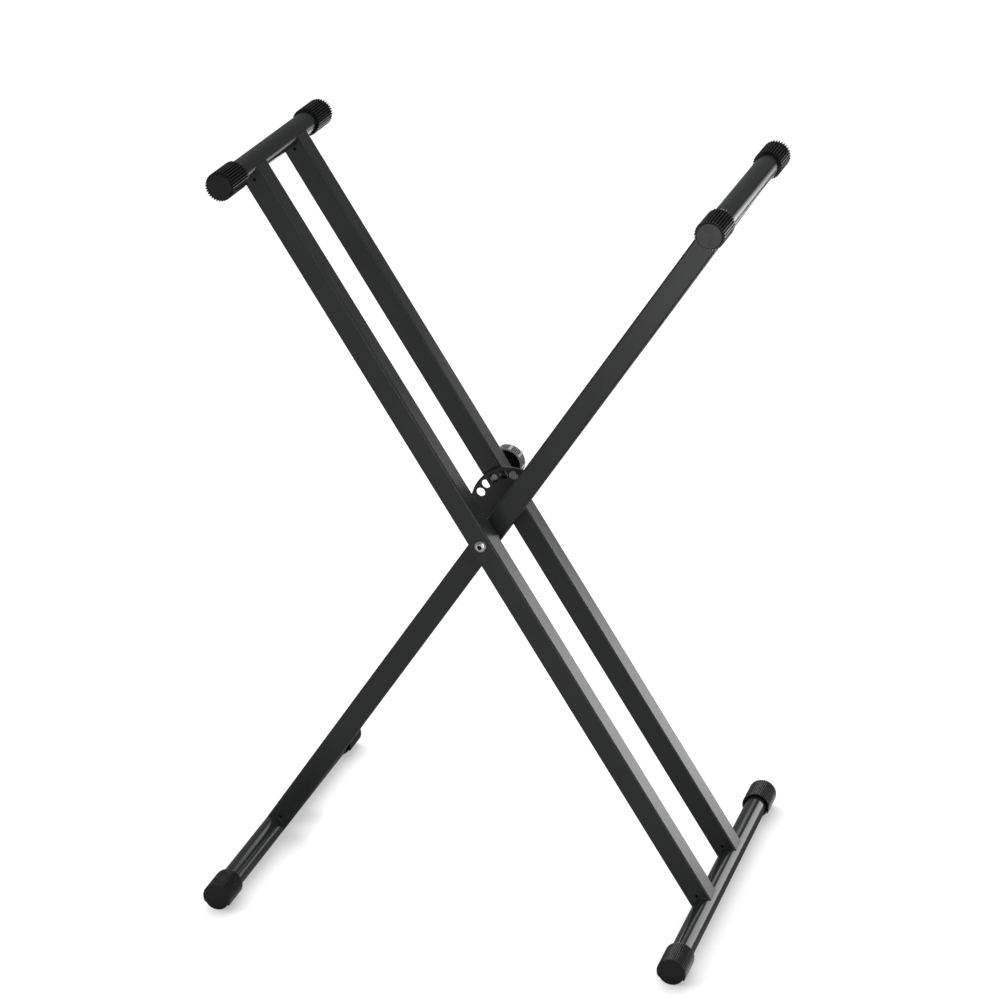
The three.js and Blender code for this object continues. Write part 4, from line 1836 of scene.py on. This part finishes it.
@dataclass(frozen=True)
class PhotoCamera:
    """The camera of the photograph, fitted to the stand's own bars, legs and pivot.

    Attributes:
        place: Where it is, in metres.
        azimuth: How far round to the right it stands, in radians.
        elevation: How far it looks down.
        roll: How far it is turned about its own axis.
        focal_pixels: Focal length in pixels of the frame.
        frame_pixels: Side of the square frame.
        sensor: Sensor width, in millimetres.
    """

    place: tuple[float, float, float] = (0.966, -3.1173, 1.8029)
    azimuth: float = math.radians(17.231)
    elevation: float = math.radians(22.626)
    roll: float = math.radians(0.341)
    focal_pixels: float = 3212.0
    frame_pixels: float = 1000.0
    sensor: float = 36.0

    def build(self) -> None:
        """Makes the camera and sets it as the scene's."""
        data = bpy.data.cameras.new("photo_camera")
        data.sensor_width = self.sensor
        data.lens = self.focal_pixels * self.sensor / self.frame_pixels
        camera = shown("photo_camera", data)
        level = Matrix.Rotation(self.azimuth, 4, "Z") @ Matrix.Rotation(UP - self.elevation, 4, "X")
        turn = level @ Matrix.Rotation(self.roll, 4, "Z")
        camera.matrix_world = Matrix.Translation(self.place) @ turn
        bpy.context.scene.camera = camera


@dataclass(frozen=True)
class GlossCard:
    """A glowing card that shows only in gloss, upright and square to the Y axis.

    Attributes:
        name: Its name.
        low: Its lowest corner, in metres.
        high: Its highest corner, at the same y.
        radiance: How bright it is, where 1 is white.
        fade: Width of its soft edge at the left, the right, the bottom and the top.
    """

    name: str
    low: tuple[float, float, float]
    high: tuple[float, float, float]
    radiance: float
    fade: tuple[float, float, float, float]

    def build(self) -> None:
        """Makes the card."""
        bm = bmesh.new()
        (x0, y, z0), (x1, _, z1) = self.low, self.high
        corners = ((x0, y, z0), (x1, y, z0), (x1, y, z1), (x0, y, z1))
        bm.faces.new([bm.verts.new(corner) for corner in corners])
        card = staged(self.name, bm, self.material())
        for ray in ("camera", "diffuse", "transmission", "shadow", "volume_scatter"):
            setattr(card, f"visible_{ray}", False)

    def material(self) -> bpy.types.Material:
        """Makes the glow, which fades towards the card's edges.

        Returns:
            The material.
        """
        material = bare_material(self.name)
        tree = material.node_tree
        place = tree.nodes.new("ShaderNodeSeparateXYZ")
        tree.links.new(tree.nodes.new("ShaderNodeTexCoord").outputs["Object"], place.inputs[0])
        left, right, bottom, top = self.fade
        glow: object = self.radiance
        for axis, edge, fade in (
            (0, self.low[0], left), (0, self.high[0], -right),
            (2, self.low[2], bottom), (2, self.high[2], -top),
        ):
            if fade:
                ramp = tree.nodes.new("ShaderNodeMapRange")
                ramp.interpolation_type = "SMOOTHSTEP"
                tree.links.new(place.outputs[axis], ramp.inputs["Value"])
                ramp.inputs["From Min"].default_value = edge
                ramp.inputs["From Max"].default_value = edge + fade
                glow = linked(tree, "MULTIPLY", ramp.outputs[0], glow)
        emission = tree.nodes.new("ShaderNodeEmission")
        tree.links.new(linked(tree, "MULTIPLY", glow, 1.0), emission.inputs["Strength"])
        output = tree.nodes.new("ShaderNodeOutputMaterial")
        tree.links.new(emission.outputs[0], output.inputs["Surface"])
        return material


@dataclass(frozen=True)
class SoftLamp:
    """A soft lamp that the camera doesn't see.

    Attributes:
        name: Its name.
        place: Its middle, in metres.
        aim: The point that it faces.
        size: Width and height.
        radiance: How bright its face is, where 1 is white.
        glossy: Whether it shows in gloss.
    """

    name: str
    place: tuple[float, float, float]
    aim: tuple[float, float, float]
    size: tuple[float, float]
    radiance: float
    glossy: bool

    def build(self) -> None:
        """Makes the lamp as an area lamp."""
        data = bpy.data.lights.new(self.name, "AREA")
        data.shape = "RECTANGLE"
        data.size, data.size_y = self.size
        data.energy = self.radiance * math.pi * self.size[0] * self.size[1]
        lamp = shown(self.name, data)
        facing = (Vector(self.aim) - Vector(self.place)).to_track_quat("-Z", "Y")
        lamp.matrix_world = Matrix.Translation(self.place) @ facing.to_matrix().to_4x4()
        lamp.visible_camera = False
        lamp.visible_glossy = self.glossy


@dataclass(frozen=True)
class Studio:
    """White floor, white surroundings, soft lamps and cards.

    Attributes:
        floor_side: Side of the floor, in metres.
        floor_colour: Matt colour of the floor, which takes the shadows.
        floor_glow: What lifts it to white for the camera.
        contact_from: Side that the floor's contact shade comes from.
        contact_reach: How far from a piece the contact shade reaches, in metres.
        contact_power: How dark it is.
        floor_gloss: Share of the floor's brightness that gloss and clear surfaces see.
        floor_gloss_rear: The same behind the stand.
        gloss_falls: Where along Y the one gives way to the other.
        ambient: Brightness of the surroundings for matt surfaces.
        gloss_dark: Brightness of the surroundings in gloss.
        sky_from: Where the broad skylight comes from.
        sky_spread: Its angular width.
        sky_strength: Its irradiance.
        lamps: The lamps.
        cards: The cards.
    """

    floor_side: float = 40.0
    floor_colour: float = 0.42
    floor_glow: float = 0.78
    contact_from: tuple[float, float, float] = (-0.62, 0.62, 0.48)
    contact_reach: float = 0.03
    contact_power: float = 0.5
    floor_gloss: float = 0.3
    floor_gloss_rear: float = 0.15
    gloss_falls: tuple[float, float] = (-0.3, 0.0)
    ambient: float = 0.5
    gloss_dark: float = 0.16
    sky_from: tuple[float, float, float] = (-0.32, 0.6, 0.73)
    sky_spread: float = math.radians(58)
    sky_strength: float = 2.1
    lamps: tuple[SoftLamp, ...] = (
        SoftLamp("key_lamp", (1.6, -1.9, 2.3), (0.0, 0.0, 0.45), (1.4, 1.0), 2.3, True),
        SoftLamp("left_lamp", (-2.2, -0.3, 1.9), (0.0, 0.0, 0.2), (1.2, 1.2), 1.5, False),
    )
    cards: tuple[GlossCard, ...] = (
        GlossCard("rear_card", (0.48, 0.82, 0.0), (1.35, 0.82, 0.9), 3.35, (0.0, 0.0, 0.0, 0.4)),
        GlossCard("upper_card", (-0.1, 0.82, 0.30), (0.36, 0.82, 0.74), 1.6, (0.15, 0.2, 0.15, 0.2)),
        GlossCard("left_card", (-0.5, 0.82, 0.3), (0.05, 0.82, 0.78), 1.8, (0.1, 0.15, 0.1, 0.1)),
        GlossCard("low_card", (0.14, 0.82, 0.0), (0.42, 0.82, 0.16), 2.4, (0.06, 0.0, 0.0, 0.06)),
        GlossCard("right_card", (1.2, -1.9, 0.0), (2.6, -1.9, 1.6), 2.0, (0.3, 0.3, 0.0, 0.3)),
        GlossCard("front_card", (-0.45, -1.9, 0.0), (0.5, -1.9, 0.62), 3.1, (0.3, 0.2, 0.0, 0.3)),
    )

    def build(self) -> None:
        """Makes the floor, the world, the lamps and the cards."""
        self.build_floor()
        self.build_world()
        self.build_sky()
        for piece in (*self.lamps, *self.cards):
            piece.build()

    def build_sky(self) -> None:
        """Makes the broad light from the upper left, which casts the floor's soft shadows."""
        data = bpy.data.lights.new("skylight", "SUN")
        data.energy = self.sky_strength
        data.angle = self.sky_spread
        lamp = shown("skylight", data)
        lamp.matrix_world = Vector(self.sky_from).to_track_quat("Z", "Y").to_matrix().to_4x4()
        lamp.visible_glossy = False

    def build_floor(self) -> None:
        """Makes the floor, white where nothing shades it."""
        bm = bmesh.new()
        bmesh.ops.create_grid(bm, x_segments=1, y_segments=1, size=self.floor_side / 2)
        material = bare_material("studio_floor")
        tree = material.node_tree
        matt = tree.nodes.new("ShaderNodeBsdfDiffuse")
        path = tree.nodes.new("ShaderNodeLightPath")
        gloss = linked(tree, "MAXIMUM", path.outputs["Is Glossy Ray"], path.outputs["Is Transmission Ray"])
        contact = self.contact_shade(tree)
        share = self.gloss_share(tree)
        dimming = linked(tree, "MULTIPLY_ADD", gloss, linked(tree, "SUBTRACT", share, 1.0), 1.0)
        dimmed = linked(tree, "MULTIPLY", dimming, contact)
        tree.links.new(linked(tree, "MULTIPLY", dimmed, self.floor_colour), matt.inputs["Color"])
        seen = linked(tree, "MULTIPLY_ADD", gloss, share, path.outputs["Is Camera Ray"])
        glow = tree.nodes.new("ShaderNodeEmission")
        shaded = linked(tree, "MULTIPLY", seen, contact)
        tree.links.new(linked(tree, "MULTIPLY", shaded, self.floor_glow), glow.inputs["Strength"])
        both = tree.nodes.new("ShaderNodeAddShader")
        tree.links.new(matt.outputs[0], both.inputs[0])
        tree.links.new(glow.outputs[0], both.inputs[1])
        output = tree.nodes.new("ShaderNodeOutputMaterial")
        tree.links.new(both.outputs[0], output.inputs["Surface"])
        staged("studio_floor", bm, material)

    def gloss_share(self, tree: bpy.types.NodeTree) -> Socket:
        """Makes the share of the floor's brightness that gloss sees, from front to rear.

        Args:
            tree: The floor's node tree.

        Returns:
            The share.
        """
        place = tree.nodes.new("ShaderNodeSeparateXYZ")
        tree.links.new(tree.nodes.new("ShaderNodeTexCoord").outputs["Object"], place.inputs[0])
        fall = tree.nodes.new("ShaderNodeMapRange")
        tree.links.new(place.outputs[1], fall.inputs["Value"])
        ends = (*self.gloss_falls, self.floor_gloss, self.floor_gloss_rear)
        for socket, value in zip(fall.inputs[1:5], ends):
            socket.default_value = value
        return fall.outputs[0]

    def contact_shade(self, tree: bpy.types.NodeTree) -> Socket:
        """Makes the shade beside what stands on the floor.

        Args:
            tree: The floor's node tree.

        Returns:
            A factor that is 1 away from the stand.
        """
        towards = tree.nodes.new("ShaderNodeCombineXYZ")
        for socket, value in zip(towards.inputs, Vector(self.contact_from).normalized()):
            socket.default_value = value
        hidden = tree.nodes.new("ShaderNodeAmbientOcclusion")
        hidden.samples = CAVITY_SAMPLES
        hidden.inputs["Distance"].default_value = self.contact_reach
        tree.links.new(towards.outputs[0], hidden.inputs["Normal"])
        return linked(tree, "POWER", hidden.outputs["AO"], self.contact_power)

    def build_world(self) -> None:
        """Makes surroundings that are white to the camera and dim and even to matt surfaces."""
        world = bpy.data.worlds.new("white_studio")
        bpy.context.scene.world = world
        world.use_nodes = True
        tree = world.node_tree
        light = tree.nodes["Background"]
        path = tree.nodes.new("ShaderNodeLightPath")
        gloss = tree.nodes.new("ShaderNodeMix")
        gloss.data_type = "FLOAT"
        tree.links.new(path.outputs["Is Glossy Ray"], gloss.inputs[0])
        gloss.inputs[2].default_value = self.ambient
        gloss.inputs[3].default_value = self.gloss_dark
        camera = tree.nodes.new("ShaderNodeMix")
        camera.data_type = "FLOAT"
        tree.links.new(path.outputs["Is Camera Ray"], camera.inputs[0])
        tree.links.new(gloss.outputs[0], camera.inputs[2])
        camera.inputs[3].default_value = 1.0
        light.inputs["Color"].default_value = (1, 1, 1, 1)
        tree.links.new(camera.outputs[0], light.inputs["Strength"])


# ---- Everything in order -----------------------------------------------------------------------------


def main() -> None:
    """Builds the stand and its studio."""
    logging.basicConfig(level=logging.INFO, format="%(name)s: %(message)s")
    bpy.context.scene.view_settings.view_transform = "Standard"
    layout = Layout.measured()
    PhotoCamera().build()
    plate_near, plate_far = (corner.y for corner in span("lock_plate"))
    plate = LockPlate(plate_near, plate_far)
    lock = Lock(layout)
    outer = CrossedFrame(Brace.OUTER, layout, sleeve_hole=BOLT_BORE)
    outer.build({End.REAR: lock.housing_hole()})
    inner = CrossedFrame(Brace.INNER, layout, sleeve_hole=SLEEVE_BORE)
    inner.build({End.REAR: lock.storage_hole(plate)})
    bore = outer.bar_radius + HAIRLINE
    CapSet(FootCap(bore), TopCap(bore)).build()
    PivotSet(layout).build()
    lock.build(plate)
    Studio().build()


if __name__ == "__main__":
    main()
